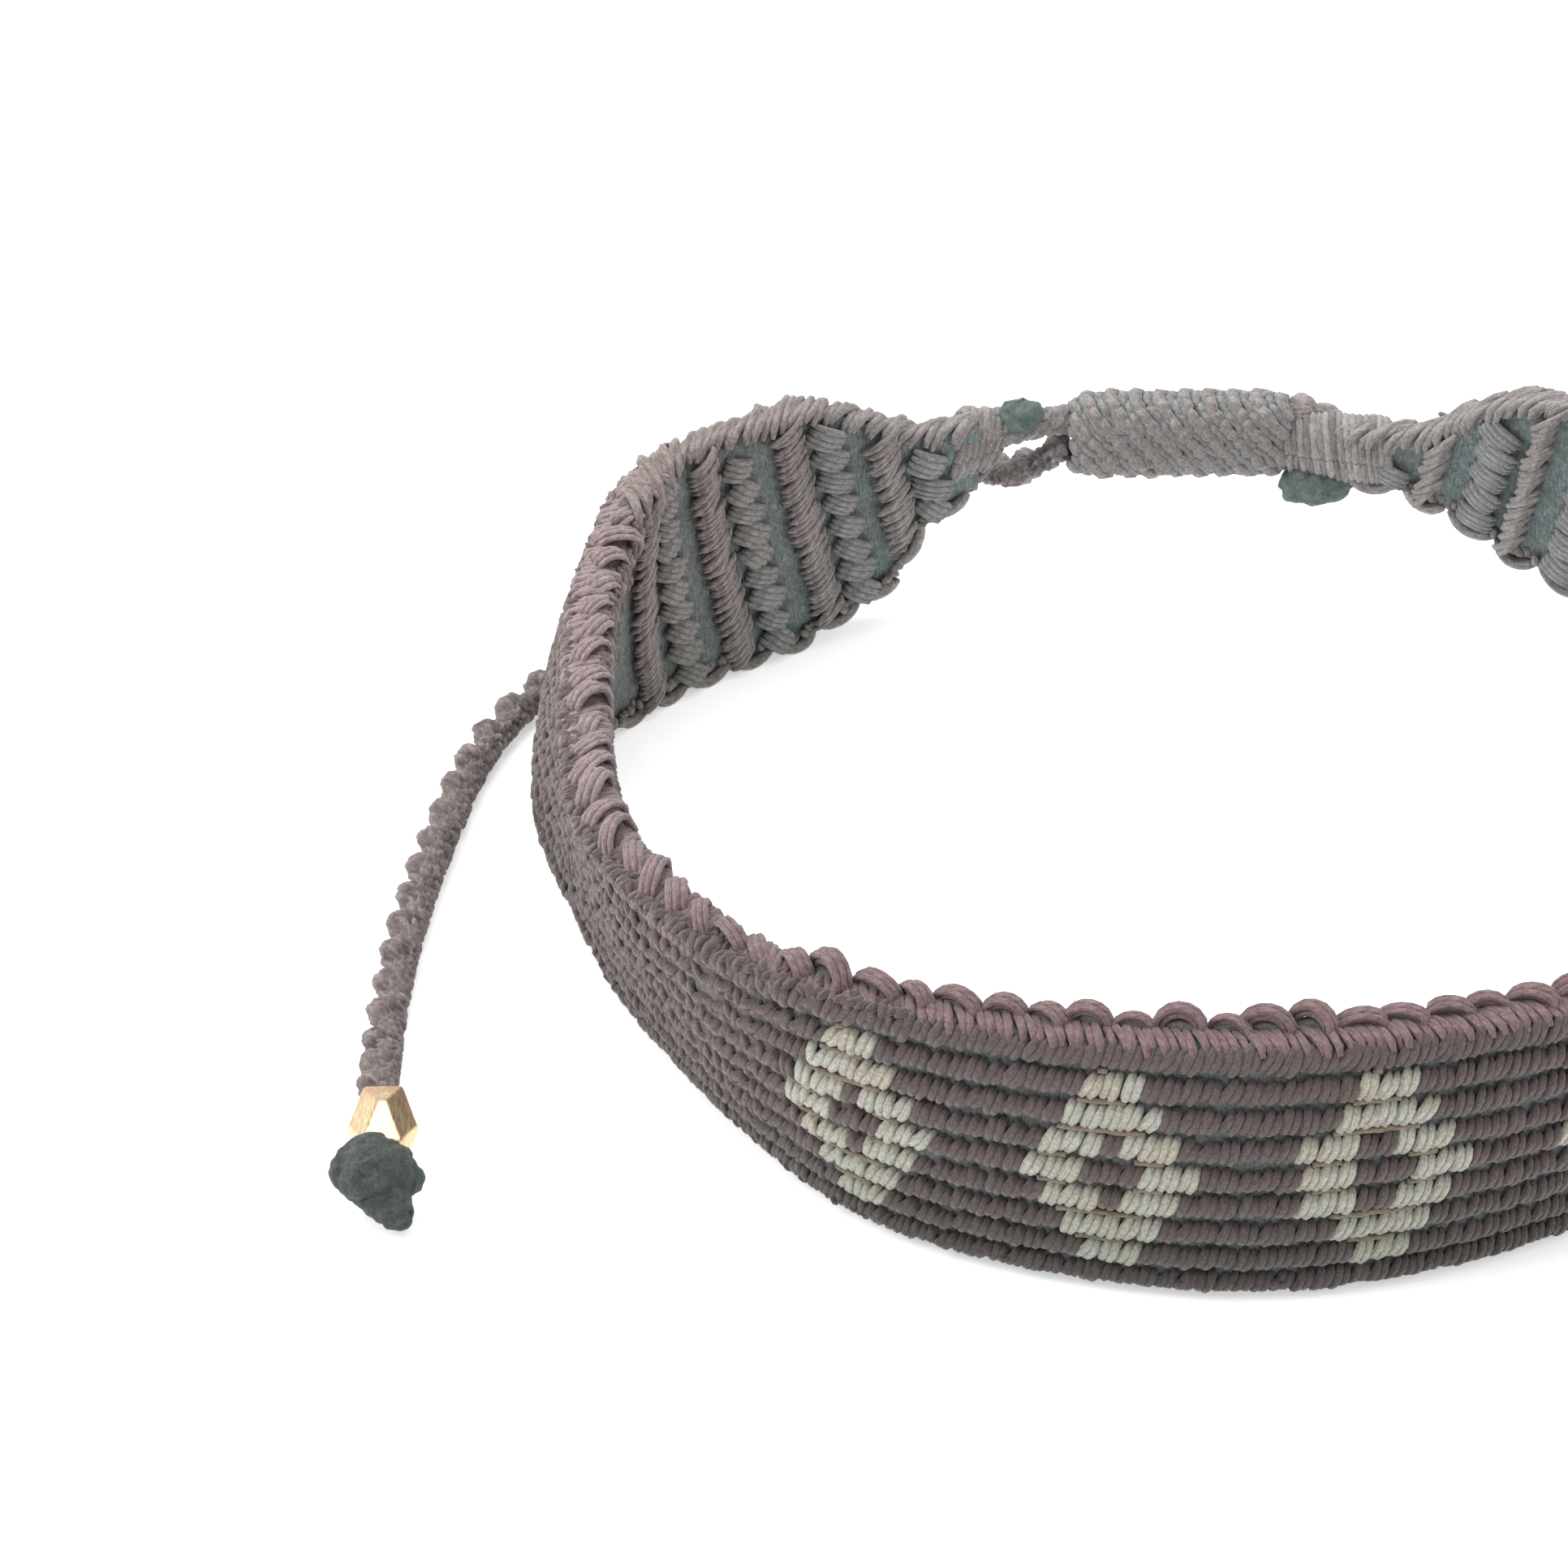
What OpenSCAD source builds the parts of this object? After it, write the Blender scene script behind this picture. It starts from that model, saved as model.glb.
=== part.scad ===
// Knotted friendship bracelet with a sliding closure and a cut brass bead on each tail.
// The loop stands on its lower edge: +Z is up, the front of the band faces -Y, millimetres.

/* [Loop] */
// Width of the loop from side to side, over the band
loop_w = 56; // [50:1:66]
// Depth of the loop from front to back, over the band
loop_d = 56; // [50:1:66]

/* [Band] */
// Full height of the band, from its lower edge to the middle of the edge loops
band_h = 13; // [10:0.5:16]
// Thickness of the band over the crests of its ribs
band_t = 2.4; // [2:0.1:2.8]
// Number of ribs that run along the band, one above the other
rib_n = 9; // [7:1:11]
// Depth of the grooves between neighbouring ribs
groove = 0.25; // [0.1:0.05:0.4]
// How far the band bulges outward at half its height
bow = 0.7; // [0:0.1:1]
// Length of the band, from one taper round the front to the other
band_len = 121; // [116:1:130]

/* [Edge loops] */
// Distance between neighbouring thread loops on the upper edge
loop_pitch = 1.9; // [1.5:0.1:2.5]
// Height of a thread loop over the upper rib
loop_rise = 1.2; // [0.8:0.1:1.5]

/* [Tapers] */
// Distance along the loop from the middle of the closure to the narrow end of the left taper
tip_left = 9.6; // [8.5:0.1:11]
// Distance along the loop from the middle of the closure to the narrow end of the right taper
tip_right = 7.6; // [7:0.1:9]
// Length in which a taper narrows from the height of the band
taper_len = 9; // [7:0.5:10]
// Distance along the loop from one narrow rib that runs across a taper to the next
cross_pitch = 4; // [3.5:0.1:5]
// Sideways lean of the ribs across a taper for each millimetre of height
cross_lean = 0.26; // [0:0.02:0.3]
// Depth of the gaps between the ribs that run across a taper
cross_groove = 0.45; // [0.2:0.05:0.6]

/* [Closure] */
// Thickness of the cord that slides in the sleeve
cord_d = 1.5; // [1.3:0.1:1.6]
// Length of the knotted sleeve
sleeve_len = 9.8; // [8.6:0.2:10.2]
// Thickness of the sleeve's wall over its wraps
sleeve_wall = 0.6; // [0.5:0.05:0.7]
// Number of slanted wraps that the sleeve shows
sleeve_wraps = 8; // [6:1:10]
// Height of the middle of the closure over the lower edge, as a share of the band's height
closure_share = 0.68; // [0.64:0.01:0.72]
// Size of a melted thread end at the sleeve
stub_w = 1.8; // [1.4:0.1:2.2]

/* [Tails] */
// Width of a cut bead over its corners
bead_w = 3.3; // [3:0.1:3.8]
// Length of a cut bead along its hole
bead_len = 4; // [3.4:0.1:4.6]
// Diameter of the hole through a bead
bead_hole = 1.2; // [1.1:0.05:1.3]
// Diameter of the knot that holds a bead on
knot_w = 3.9; // [3.4:0.1:4.6]
// Space kept free between neighbouring pieces
gap = 0.06; // [0.04:0.01:0.1]

/* [Hidden] */

THREAD = [0.44, 0.38, 0.38];
THREAD_DARK = [0.32, 0.34, 0.33];
BRASS = [0.82, 0.70, 0.50];

// Outline of the loop seen from above, from the middle of the front to the middle of the back.
// Columns: side as a share of half the width, depth as a share of half the depth,
// inward lean of the lower edge as a share of the band's height, bulge as a share of the greatest.
SIDE = 0;
DEPTH = 1;
LEAN = 2;
BULGE = 3;
PLAN = [
    [0.00, -1.00, 0.00, 1.0],
    [0.46, -0.92, 0.10, 1.0],
    [0.78, -0.74, 0.30, 0.6],
    [0.98, -0.40, 0.30, 0.2],
    [1.00, 0.00, 0.04, 0.6],
    [0.96, 0.38, -0.20, 0.8],
    [0.84, 0.70, -0.05, 0.5],
    [0.40, 0.94, -0.10, 0.0],
    [0.00, 1.00, 0.00, 0.0]
];
BACK = len(PLAN) - 1;
ROUND = 2 * BACK;

// Upper and lower edge of each taper, from its narrow end outward.
// Columns: distance from the narrow end as a share of the taper's length,
// upper edge and lower edge as shares of the band's height.
TAPER_LEFT = [
    [0.00, 0.77, 0.49],
    [0.20, 0.77, 0.45],
    [0.34, 0.78, 0.34],
    [0.44, 0.82, 0.19],
    [0.60, 0.87, 0.13],
    [0.80, 0.95, 0.08],
    [1.00, 1.00, 0.02],
    [1.20, 1.00, 0.00]
];
TAPER_RIGHT = [
    [0.00, 0.71, 0.52],
    [0.34, 0.72, 0.51],
    [0.50, 0.76, 0.45],
    [0.60, 0.81, 0.43],
    [0.76, 0.89, 0.38],
    [0.93, 0.95, 0.31],
    [1.15, 0.98, 0.27],
    [1.60, 1.00, 0.12],
    [2.00, 1.00, 0.00]
];
function upper(table) = [for (r = table) [r[0], r[1]]];
function lower(table) = [for (r = table) [r[0], r[2]]];

// One narrow and one broad rib across a taper.
// Columns: place as a share of their pitch, depth as a share of the gap between ribs,
// place whose edge height the rib keeps.
CROSS = [
    [-0.18, 1.0, 0.00],
    [-0.10, 0.0, 0.00],
    [0.10, 0.0, 0.00],
    [0.18, 0.7, 0.46],
    [0.28, 0.0, 0.46],
    [0.46, -0.2, 0.46],
    [0.66, 0.0, 0.46]
];
// The pitch grows by this share from one pair of ribs to the next.
CROSS_GROWTH = 0.05;

// Height of an edge loop over its length. Columns: place as a share of the pitch, height as a share.
SCALLOP = [[0.00, 0.40], [0.35, 1.00], [0.75, 0.90]];

// How a tail leaves the sleeve, on its way to the back of the taper.
// Columns: distance from the sleeve, then the way back and the way down for the left and the right tail.
LEAVE = [
    [0.3, [0.0, 0.0], [0.0, 0.0]],
    [0.8, [0.1, 0.3], [0.4, 0.1]],
    [1.6, [0.2, 0.9], [1.3, 0.8]],
    [2.7, [0.6, 1.7], [2.2, 2.0]]
];

// Route of a tail's middle line from there down behind the taper and along the surface.
// Columns: side as a share of half the width, depth as a share of half the depth,
// height as a share of the height at which the left and the right tail leave the sleeve.
TAIL = [
    [0.33, 1.030, 0.68, 0.74],
    [0.41, 1.030, 0.62, 0.66],
    [0.50, 1.010, 0.53, 0.55],
    [0.585, 0.973, 0.42, 0.42],
    [0.67, 0.928, 0.27, 0.26],
    [0.75, 0.882, 0.11, 0.10],
    [0.825, 0.825, 0.01, 0.01],
    [0.91, 0.76, 0, 0],
    [0.99, 0.685, 0, 0],
    [1.065, 0.59, 0, 0],
    [1.118, 0.48, 0, 0],
    [1.155, 0.36, 0, 0],
    [1.182, 0.237, 0, 0],
    [1.207, 0.114, 0, 0],
    [1.228, -0.007, 0, 0],
    [1.245, -0.13, 0, 0],
    [1.257, -0.25, 0, 0],
    [1.264, -0.37, 0.01, 0.01]
];
// Where a tail enters its bead, as shares of half the width and half the depth.
BEAD_AT = [1.268, -0.557];

// Smooth curve through four values, between the second and the third.
function between(a, b, c, d, f) =
    b + f / 2 * ((c - a) + f * ((2 * a - 5 * b + 4 * c - d) + f * (3 * (b - c) + d - a)));
// Row of the plan by its number round the loop; the right half mirrors the left.
function plan_row(k) = let (m = (k % ROUND + ROUND) % ROUND)
    m > BACK ? [-PLAN[ROUND - m][SIDE], PLAN[ROUND - m][DEPTH], PLAN[ROUND - m][LEAN], PLAN[ROUND - m][BULGE]]
        : PLAN[m];
function plan_at(u) = let (k = floor(u))
    between(plan_row(k - 1), plan_row(k), plan_row(k + 1), plan_row(k + 2), u - k);
function outline(u) = let (p = plan_at(u)) [-p[SIDE] * loop_w / 2, p[DEPTH] * loop_d / 2];
function inward(u) = let (d = outline(u + 0.01) - outline(u - 0.01)) [d[1], -d[0]] / norm(d);

// Length of the outline from the middle of the front, in small steps, and the place for a length.
STEP = 0.1;
LENGTHS = [for (k = 0, s = 0; k <= BACK / STEP; s = s + norm(outline((k + 1) * STEP) - outline(k * STEP)), k = k + 1)
    [s, k * STEP]];
half_len = LENGTHS[len(LENGTHS) - 1][0];
function place(s) = sign(s) * lookup(abs(s), LENGTHS);

// A point of the wall: s along the outline, left of the front's middle positive, z up, depth inward.
function wall(s, z, depth) = let (u = place(s), row = plan_at(u),
        bulge = bow * row[BULGE] * (1 - pow(2 * z / band_h - 1, 2)),
        p = outline(u) + inward(u) * (depth + row[LEAN] * (band_h - z) - bulge))
    [p[0], p[1], z];

function mirrored(p) = [-p[0], p[1], p[2]];

// Skin between rings of points, with both ends closed by strips across the ring.
module loft(rings) {
    n = len(rings);
    m = len(rings[0]);
    half = m / 2;
    sides = [for (i = [0 : n - 2], j = [0 : m - 1])
        [i * m + j, i * m + (j + 1) % m, (i + 1) * m + (j + 1) % m, (i + 1) * m + j]];
    start = [for (j = [0 : half - 2]) [m - 1 - j, m - 2 - j, j + 1, j]];
    end = [for (j = [0 : half - 2], o = [(n - 1) * m]) [o + j, o + j + 1, o + m - 2 - j, o + m - 1 - j]];
    polyhedron([for (r = rings) each r], concat(sides, start, end));
}

// Rings of a round cord along a middle line, with a radius for each point.
function heading(line, i) = let (a = line[max(i - 1, 0)], b = line[min(i + 1, len(line) - 1)]) (b - a) / norm(b - a);
function cord_rings(line, radii, sides = 8) = [for (i = [0 : len(line) - 1])
    let (t = heading(line, i), x = cross([0, 0, 1], t) / norm(cross([0, 0, 1], t)), y = cross(t, x))
        [for (j = [0 : sides - 1]) line[i] + radii[i] * (cos(360 * j / sides) * x - sin(360 * j / sides) * y)]];

// Knotted band

rib_top = band_h - loop_rise * 0.4;
rib_h = rib_top / rib_n;
BAND_STEP = 2;
function rib_depth(k) = k % 2 == 0 ? groove : 0;
function band_ring(s) = concat(
    [for (k = [0 : 2 * rib_n]) wall(s, k * rib_h / 2, rib_depth(k))],
    [for (k = [2 * rib_n : -1 : 0]) wall(s, k * rib_h / 2, band_t - rib_depth(k))]);

module band() {
    n = ceil(band_len / BAND_STEP);
    color(THREAD)
        loft([for (i = [0 : n]) band_ring((i / n - 0.5) * band_len)]);
}

function loop_ring(s, share) = let (foot = rib_top + gap, top = foot + loop_rise * share)
    [wall(s, foot, band_t - groove), wall(s, (foot + top) / 2, band_t), wall(s, top, band_t * 0.7),
        wall(s, top, band_t * 0.3), wall(s, (foot + top) / 2, 0), wall(s, foot, groove)];

module edge_loops() {
    n = floor((band_len - 1) / loop_pitch);
    rings = [for (i = [0 : n - 1], r = SCALLOP) loop_ring((i + r[0] - n / 2) * loop_pitch, r[1])];
    color(THREAD)
        loft(rings);
}

// Tapers with ribs across them

// Distances from here on are taken from the narrow end, so the ribs start there.
function edge_height(table, along) = band_h * lookup(along / taper_len, table);
function rib_place(k) = cross_pitch * k * (1 + CROSS_GROWTH * k);
function taper_ring(tip, along, keep, depth, table, lean) = let (
        half = band_h / 2,
        top = edge_height(upper(table), keep + lean * (edge_height(upper(table), keep) - half)),
        low = edge_height(lower(table), keep + lean * (edge_height(lower(table), keep) - half)),
        cut = min(groove, (top - low) / 8),
        s = half_len - tip - along,
        mid = (top + low) / 2)
    [for (q = [[low, depth + groove], [low + cut, depth], [mid, depth], [top - cut, depth], [top, depth + groove],
        [top, band_t - depth - groove], [top - cut, band_t - depth], [mid, band_t - depth],
        [low + cut, band_t - depth], [low, band_t - depth - groove]])
        wall(s - lean * (q[0] - half), q[0], q[1])];

module taper(side, tip, table) {
    length = half_len - band_len / 2 - tip - gap;
    ribs = [for (i = [0 : 9], r = CROSS) [rib_place(i + r[0]), r[1], rib_place(i + r[2])]];
    spots = [for (r = ribs) if (r[0] > 0.1 && r[0] < length - 0.4) r];
    rows = concat([[0, 0, 0.1]], spots, [[length, 0, length]]);
    rings = [for (r = rows) taper_ring(tip, r[0], min(length, max(0, r[2])),
        max(0, r[1]) * cross_groove - max(0, -r[1]) * groove, table,
        cross_lean * min(1, r[0] / 4, (length - r[0]) / 4))];
    color(THREAD)
        if (side > 0)
            loft([for (i = [len(rings) - 1 : -1 : 0]) rings[i]]);
        else
            loft([for (r = rings) [for (p = r) mirrored(p)]]);
}

module taper_left() {
    taper(1, tip_left, TAPER_LEFT);
}

module taper_right() {
    taper(-1, tip_right, TAPER_RIGHT);
}

// Closure: two cords, one above the other, in a knotted sleeve

closure_y = loop_d / 2 - band_t / 2;
closure_z = band_h * closure_share;
channel = (cord_d + gap) / 2;
upper_z = closure_z + channel;
lower_z = closure_z - channel;
sleeve_half = sleeve_len / 2;

// From the narrow end of a taper into the sleeve and through it.
function slide_line(tip, z_tip, z_sleeve) = let (a = wall(half_len - tip + 0.25, z_tip, band_t / 2),
        b = [-sleeve_half - 0.5, closure_y, z_sleeve])
    [a, a * 0.65 + b * 0.35 + [0, 0.05, 0], a * 0.3 + b * 0.7 + [0, 0.05, 0.1 * (z_sleeve - z_tip)], b,
        [-sleeve_half, closure_y, z_sleeve], [0, closure_y, z_sleeve], [sleeve_half, closure_y, z_sleeve]];
function even(line, r) = [for (p = line) r];
function tip_mid(table) = band_h * (table[0][1] + table[0][2]) / 2;
left_line = slide_line(tip_left, tip_mid(TAPER_LEFT) + 0.9, upper_z);

module slide_cord_left() {
    color(THREAD)
        loft(cord_rings(left_line, even(left_line, cord_d / 2)));
}

module slide_cord_right() {
    line = [for (p = slide_line(tip_right, tip_mid(TAPER_RIGHT) - 0.4, lower_z)) mirrored(p)];
    color(THREAD)
        loft(cord_rings(line, even(line, cord_d / 2)));
}

// Stadium round both cords: points by angle, radius r round each cord.
function oval(x, r, slant) = [for (j = [0 : 11]) let (a = 15 + 30 * j, z = r * sin(a) + sign(sin(a)) * channel)
    [x + slant * z, closure_y + r * cos(a), closure_z + z]];

module closure_sleeve() {
    bore_r = cord_d / 2 / cos(15) + gap;
    wall_r = cord_d / 2 + sleeve_wall;
    n = 2 * sleeve_wraps;
    xs = [for (i = [0 : n]) (i / n - 0.5) * sleeve_len];
    slants = [for (i = [0 : n]) -0.45 * pow(sin(180 * i / n), 0.5)];
    skin = [for (i = [0 : n]) each oval(xs[i], wall_r - (i % 2 == 0 ? groove : 0), slants[i])];
    bore = [for (i = [0, n]) each oval(xs[i], bore_r, 0)];
    m = 12;
    o = (n + 1) * m;
    outside = [for (i = [0 : n - 1], j = [0 : m - 1])
        [i * m + j, i * m + (j + 1) % m, (i + 1) * m + (j + 1) % m, (i + 1) * m + j]];
    inside = [for (j = [0 : m - 1]) [o + m + j, o + m + (j + 1) % m, o + (j + 1) % m, o + j]];
    start = [for (j = [0 : m - 1]) [o + j, o + (j + 1) % m, (j + 1) % m, j]];
    end = [for (j = [0 : m - 1]) [n * m + j, n * m + (j + 1) % m, o + m + (j + 1) % m, o + m + j]];
    color(THREAD)
        polyhedron(concat(skin, bore), concat(outside, inside, start, end));
}

// Rounded lump with a few soft bulges, wide in x, y and z, never below the surface.
function lump_rings(size, bulges, n = 7, m = 12) = [for (i = [0 : n])
    let (a = 180 * (i + 0.25) / (n + 0.5)) [for (j = [0 : m - 1])
        let (b = 360 * j / m, r = 1 + bulges * sin(3 * b + 60 * i) * sin(a))
            [size[0] / 2 * r * sin(a) * sin(b), -size[1] / 2 * cos(a), size[2] / 2 * r * sin(a) * cos(b)]]];

module lump(size, bulges) {
    loft(lump_rings(size, bulges));
}

module sleeve_end_left() {
    under = (left_line[1] + left_line[2]) / 2;
    color(THREAD_DARK)
        translate([under[0], closure_y - 0.2, under[2] + cord_d / 2 + stub_w * 0.26 + gap])
            lump([stub_w, stub_w * 0.7, stub_w * 0.5], 0.05);
}

module sleeve_end_right() {
    color(THREAD_DARK)
        translate([sleeve_half + stub_w * 0.7 + gap, closure_y - 0.2, lower_z - cord_d / 2 - stub_w * 0.62 - gap])
            lump([stub_w * 1.3, stub_w * 0.75, stub_w * 0.85], 0.05);
}

// Tails with their beads and knots

lie = cord_d / 2 + gap;
bead_x = -BEAD_AT[0] * loop_w / 2;
bead_start_y = BEAD_AT[1] * loop_d / 2;
bead_end_y = bead_start_y - bead_len;
bead_z = bead_w / 2 + gap;
core_r = bead_hole / 2 - gap;
// The last columns of the table give the left and the right tail.
function tail_line(start, column) = concat(
    [[-sleeve_half - gap, closure_y, start],
        for (r = LEAVE) [-sleeve_half - r[0], closure_y + r[column - 1][0], start - r[column - 1][1]]],
    [for (r = TAIL) [-r[0] * loop_w / 2, r[1] * loop_d / 2, lie + (start - lie) * r[column]]],
    [[bead_x, bead_start_y + 2, bead_z - 0.3], [bead_x, bead_start_y + 0.4, bead_z],
        [bead_x, bead_start_y + gap, bead_z], [bead_x, bead_end_y - gap, bead_z]]);
function tail_radii(line) = [for (i = [0 : len(line) - 1]) i < len(line) - 2 ? cord_d / 2 : core_r];

module tie_left() {
    line = tail_line(lower_z, 2);
    color(THREAD)
        loft(cord_rings(line, tail_radii(line)));
}

module tie_right() {
    line = [for (p = tail_line(upper_z, 3)) mirrored(p)];
    color(THREAD)
        loft(cord_rings(line, tail_radii(line)));
}

// Cut bead: a square at each end, four corners round the middle, cut flat between them.
module bead() {
    r = bead_w / 2;
    q = r / 2;
    h = bead_len / 2;
    ends = [for (y = [h, -h], k = [0 : 3]) [r / sqrt(2) * cos(45 + 90 * k), y, r / sqrt(2) * sin(45 + 90 * k)]];
    belt = [for (k = [0 : 3]) [r * cos(90 * k), 0, r * sin(90 * k)]];
    triangles = [for (k = [0 : 3]) each [[8 + k, k, (k + 3) % 4], [8 + k, 4 + (k + 3) % 4, 4 + k]]];
    sides = [for (k = [0 : 3]) [8 + k, 4 + k, 8 + (k + 1) % 4, k]];
    difference() {
        polyhedron(concat(ends, belt), concat([[0, 1, 2, 3], [7, 6, 5, 4]], triangles, sides));
        rotate([90, 0, 0])
            cylinder(d = bead_hole, h = bead_len + 2, center = true, $fn = 32);
    }
}

module bead_left() {
    color(BRASS)
        translate([bead_x, bead_start_y - bead_len / 2, bead_z])
            bead();
}

module bead_right() {
    color(BRASS)
        translate([-bead_x, bead_start_y - bead_len / 2, bead_z])
            bead();
}

module end_knot() {
    translate([0, bead_end_y - 2 * gap - knot_w / 2, knot_w / 2 + gap])
        lump([knot_w, knot_w, knot_w * 0.93], 0.06);
}

module end_knot_left() {
    color(THREAD_DARK)
        translate([bead_x, 0, 0])
            end_knot();
}

module end_knot_right() {
    color(THREAD_DARK)
        translate([-bead_x, 0, 0])
            end_knot();
}

band();
edge_loops();
taper_left();
taper_right();
slide_cord_left();
slide_cord_right();
closure_sleeve();
sleeve_end_left();
sleeve_end_right();
tie_left();
tie_right();
bead_left();
bead_right();
end_knot_left();
end_knot_right();
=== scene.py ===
# %% [markdown]
# # A knotted friendship bracelet with a sliding closure
# The bracelet is a band of knotted thread. Nine cords lie one above the other, and working threads
# are hitched round them knot after knot, so every cord becomes a rib of small slanted stitches.
# The CAD frame holds the plain solids. This script lays the thread on them, piece by piece.

# %% Load the frame and bake its placement into the meshes
import math
import random

import bmesh
import bpy
import numpy as np
from mathutils import Matrix, Vector, noise


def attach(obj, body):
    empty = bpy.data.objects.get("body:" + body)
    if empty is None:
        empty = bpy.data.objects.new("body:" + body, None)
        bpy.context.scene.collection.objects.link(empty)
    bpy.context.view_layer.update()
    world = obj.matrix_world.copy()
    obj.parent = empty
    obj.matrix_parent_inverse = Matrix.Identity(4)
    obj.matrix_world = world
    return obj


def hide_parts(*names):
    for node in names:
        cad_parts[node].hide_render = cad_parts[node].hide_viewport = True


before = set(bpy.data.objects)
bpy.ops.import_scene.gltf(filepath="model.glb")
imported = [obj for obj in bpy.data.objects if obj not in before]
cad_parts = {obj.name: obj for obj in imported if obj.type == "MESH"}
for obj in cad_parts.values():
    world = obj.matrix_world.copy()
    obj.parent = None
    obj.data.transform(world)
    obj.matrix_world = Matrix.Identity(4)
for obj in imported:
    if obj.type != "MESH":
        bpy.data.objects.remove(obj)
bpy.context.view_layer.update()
MM = 0.001
print("nodes:", ", ".join(sorted(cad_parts)))

# %% [markdown]
# ## Camera
# The photograph looks down on the front of the band at about 33 degrees, from well back through a
# long lens, with the loop a little right of the middle. A camera could be placed by eye, but its
# place and lens were worked out from the outline of the band, so here they are only written down.

# %% Camera
camera_data = bpy.data.cameras.new("photo_camera")
camera_data.sensor_width = 36
camera_data.lens = 213.6
camera_data.clip_start = 0.01
camera_data.clip_end = 10
camera = bpy.data.objects.new("photo_camera", camera_data)
camera.location = (-0.02387, -0.33693, 0.22561)
camera.rotation_euler = (math.pi / 2 - 0.57476, 0, -0.01617)
bpy.context.scene.collection.objects.link(camera)
bpy.context.scene.camera = camera
print("camera at", tuple(round(x, 3) for x in camera.location))

# %% [markdown]
# ## Curves
# The band, its edges and the cords all follow smooth curves. One function finds a place between the
# points of a curve, and a small class measures a line of points by its own length.

# %% Smooth curves and lines with a length
def soft(a, b, c, d, f):
    """The place at a share f of the way from b to c, on a smooth curve through a, b, c and d."""
    return b + f / 2 * ((c - a) + f * ((2 * a - 5 * b + 4 * c - d) + f * (3 * (b - c) + d - a)))


def unit(v):
    return v / np.linalg.norm(v)


def turned(x, y, angle):
    """Direction x, turned towards y."""
    return x * math.cos(angle) + y * math.sin(angle)


class Line:
    """Points in a row: the run up to each, the whole length, and the place at a distance."""

    def __init__(self, points):
        self.points = np.array(points)
        steps = np.linalg.norm(np.diff(self.points, axis=0), axis=1)
        self.run = np.concatenate([[0], np.cumsum(steps)])
        self.length = float(self.run[-1])

    def spot(self, d):
        return np.stack([np.interp(d, self.run, column) for column in self.points.T], -1)


print("a square of side 1 measures", Line([(0, 0), (1, 0), (1, 1), (0, 1), (0, 0)]).length, "round")

# %% [markdown]
# ## The path of the band
# Every stitch sits on one curved wall, so the wall comes first as a function. The outline is a
# smooth curve through a few points seen from above, and the wall leans and bulges along it. The
# numbers are those of the CAD source: side and depth as shares of 28 mm, lean of the lower edge as
# a share of the height, and the share of the greatest bulge.

# %% The wall as a function
BAND_H = 13.0
BAND_T = 2.4
HALF = 28.0
BULGE = 0.7
RIB_TOP = BAND_H - 0.48
RIBS = 9
RIB_H = RIB_TOP / RIBS
BAND_HALF_LEN = 60.5
PLAN = [(0.00, -1.00, 0.00, 1.0), (0.46, -0.92, 0.10, 1.0), (0.78, -0.74, 0.30, 0.6),
        (0.98, -0.40, 0.30, 0.2), (1.00, 0.00, 0.04, 0.6), (0.96, 0.38, -0.20, 0.8),
        (0.84, 0.70, -0.05, 0.5), (0.40, 0.94, -0.10, 0.0), (0.00, 1.00, 0.00, 0.0)]
BACK = len(PLAN) - 1


def plan_row(k):
    """A row of the table; rows past its end mirror it, and the table closes into a loop."""
    m = k % (2 * BACK)
    row = PLAN[2 * BACK - m] if m > BACK else PLAN[m]
    return np.array([-row[0] if m > BACK else row[0], *row[1:]])


def plan_at(u):
    k = math.floor(u)
    return soft(*(plan_row(k + i) for i in (-1, 0, 1, 2)), u - k)


def outline(u):
    row = plan_at(u)
    return np.array([-row[0] * HALF, row[1] * HALF])


STEPS = np.arange(0, BACK + 0.001, 0.02)
HALF_LOOP = Line([outline(u) for u in STEPS])
HALF_LEN = HALF_LOOP.length


def wall(s, z, depth):
    """A point of the wall: s round the loop from the front's middle, left positive, z up, depth inward."""
    u = math.copysign(np.interp(abs(s), HALF_LOOP.run, STEPS), s)
    row = plan_at(u)
    d = outline(u + 0.01) - outline(u - 0.01)
    inward = np.array([d[1], -d[0]]) / np.linalg.norm(d)
    bulge = BULGE * row[3] * (1 - (2 * z / BAND_H - 1) ** 2)
    p = np.array([-row[0] * HALF, row[1] * HALF]) + inward * (depth + row[2] * (BAND_H - z) - bulge)
    return np.array([p[0], p[1], z])


print("half of the loop is", round(HALF_LEN, 1), "mm long")

# %% [markdown]
# A stitch also needs to know which way is right, up and outward where it lies, seen by someone who
# looks straight at that face of the band. The two faces are mirror images, so the face is an input.

# %% Directions on a face of the wall
OUTER, INNER = 0, 1


def on_face(s, z, depth, face):
    """Point, right, up and outward on one face. Depth counts from that face into the band."""
    from_outside = depth if face == OUTER else BAND_T - depth
    p = wall(s, z, from_outside)
    along = unit(wall(s + 0.2, z, from_outside) - wall(s - 0.2, z, from_outside))
    up = unit(wall(s, z + 0.2, from_outside) - wall(s, z - 0.2, from_outside))
    right = -along if face == OUTER else along
    return p, right, up, unit(np.cross(right, up))


print("outward at the front:", on_face(0, 6, 0, OUTER)[3].round(2))

# %% [markdown]
# ## Strands
# Thread is a round strand that follows a path. A curve with a bevel would do, but here the ends
# have to narrow and close and every strand needs its own coordinates for the twist of its fibres,
# so a small builder lays closed tubes into one mesh: U runs along a strand in millimetres, and V
# once round it.

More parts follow.
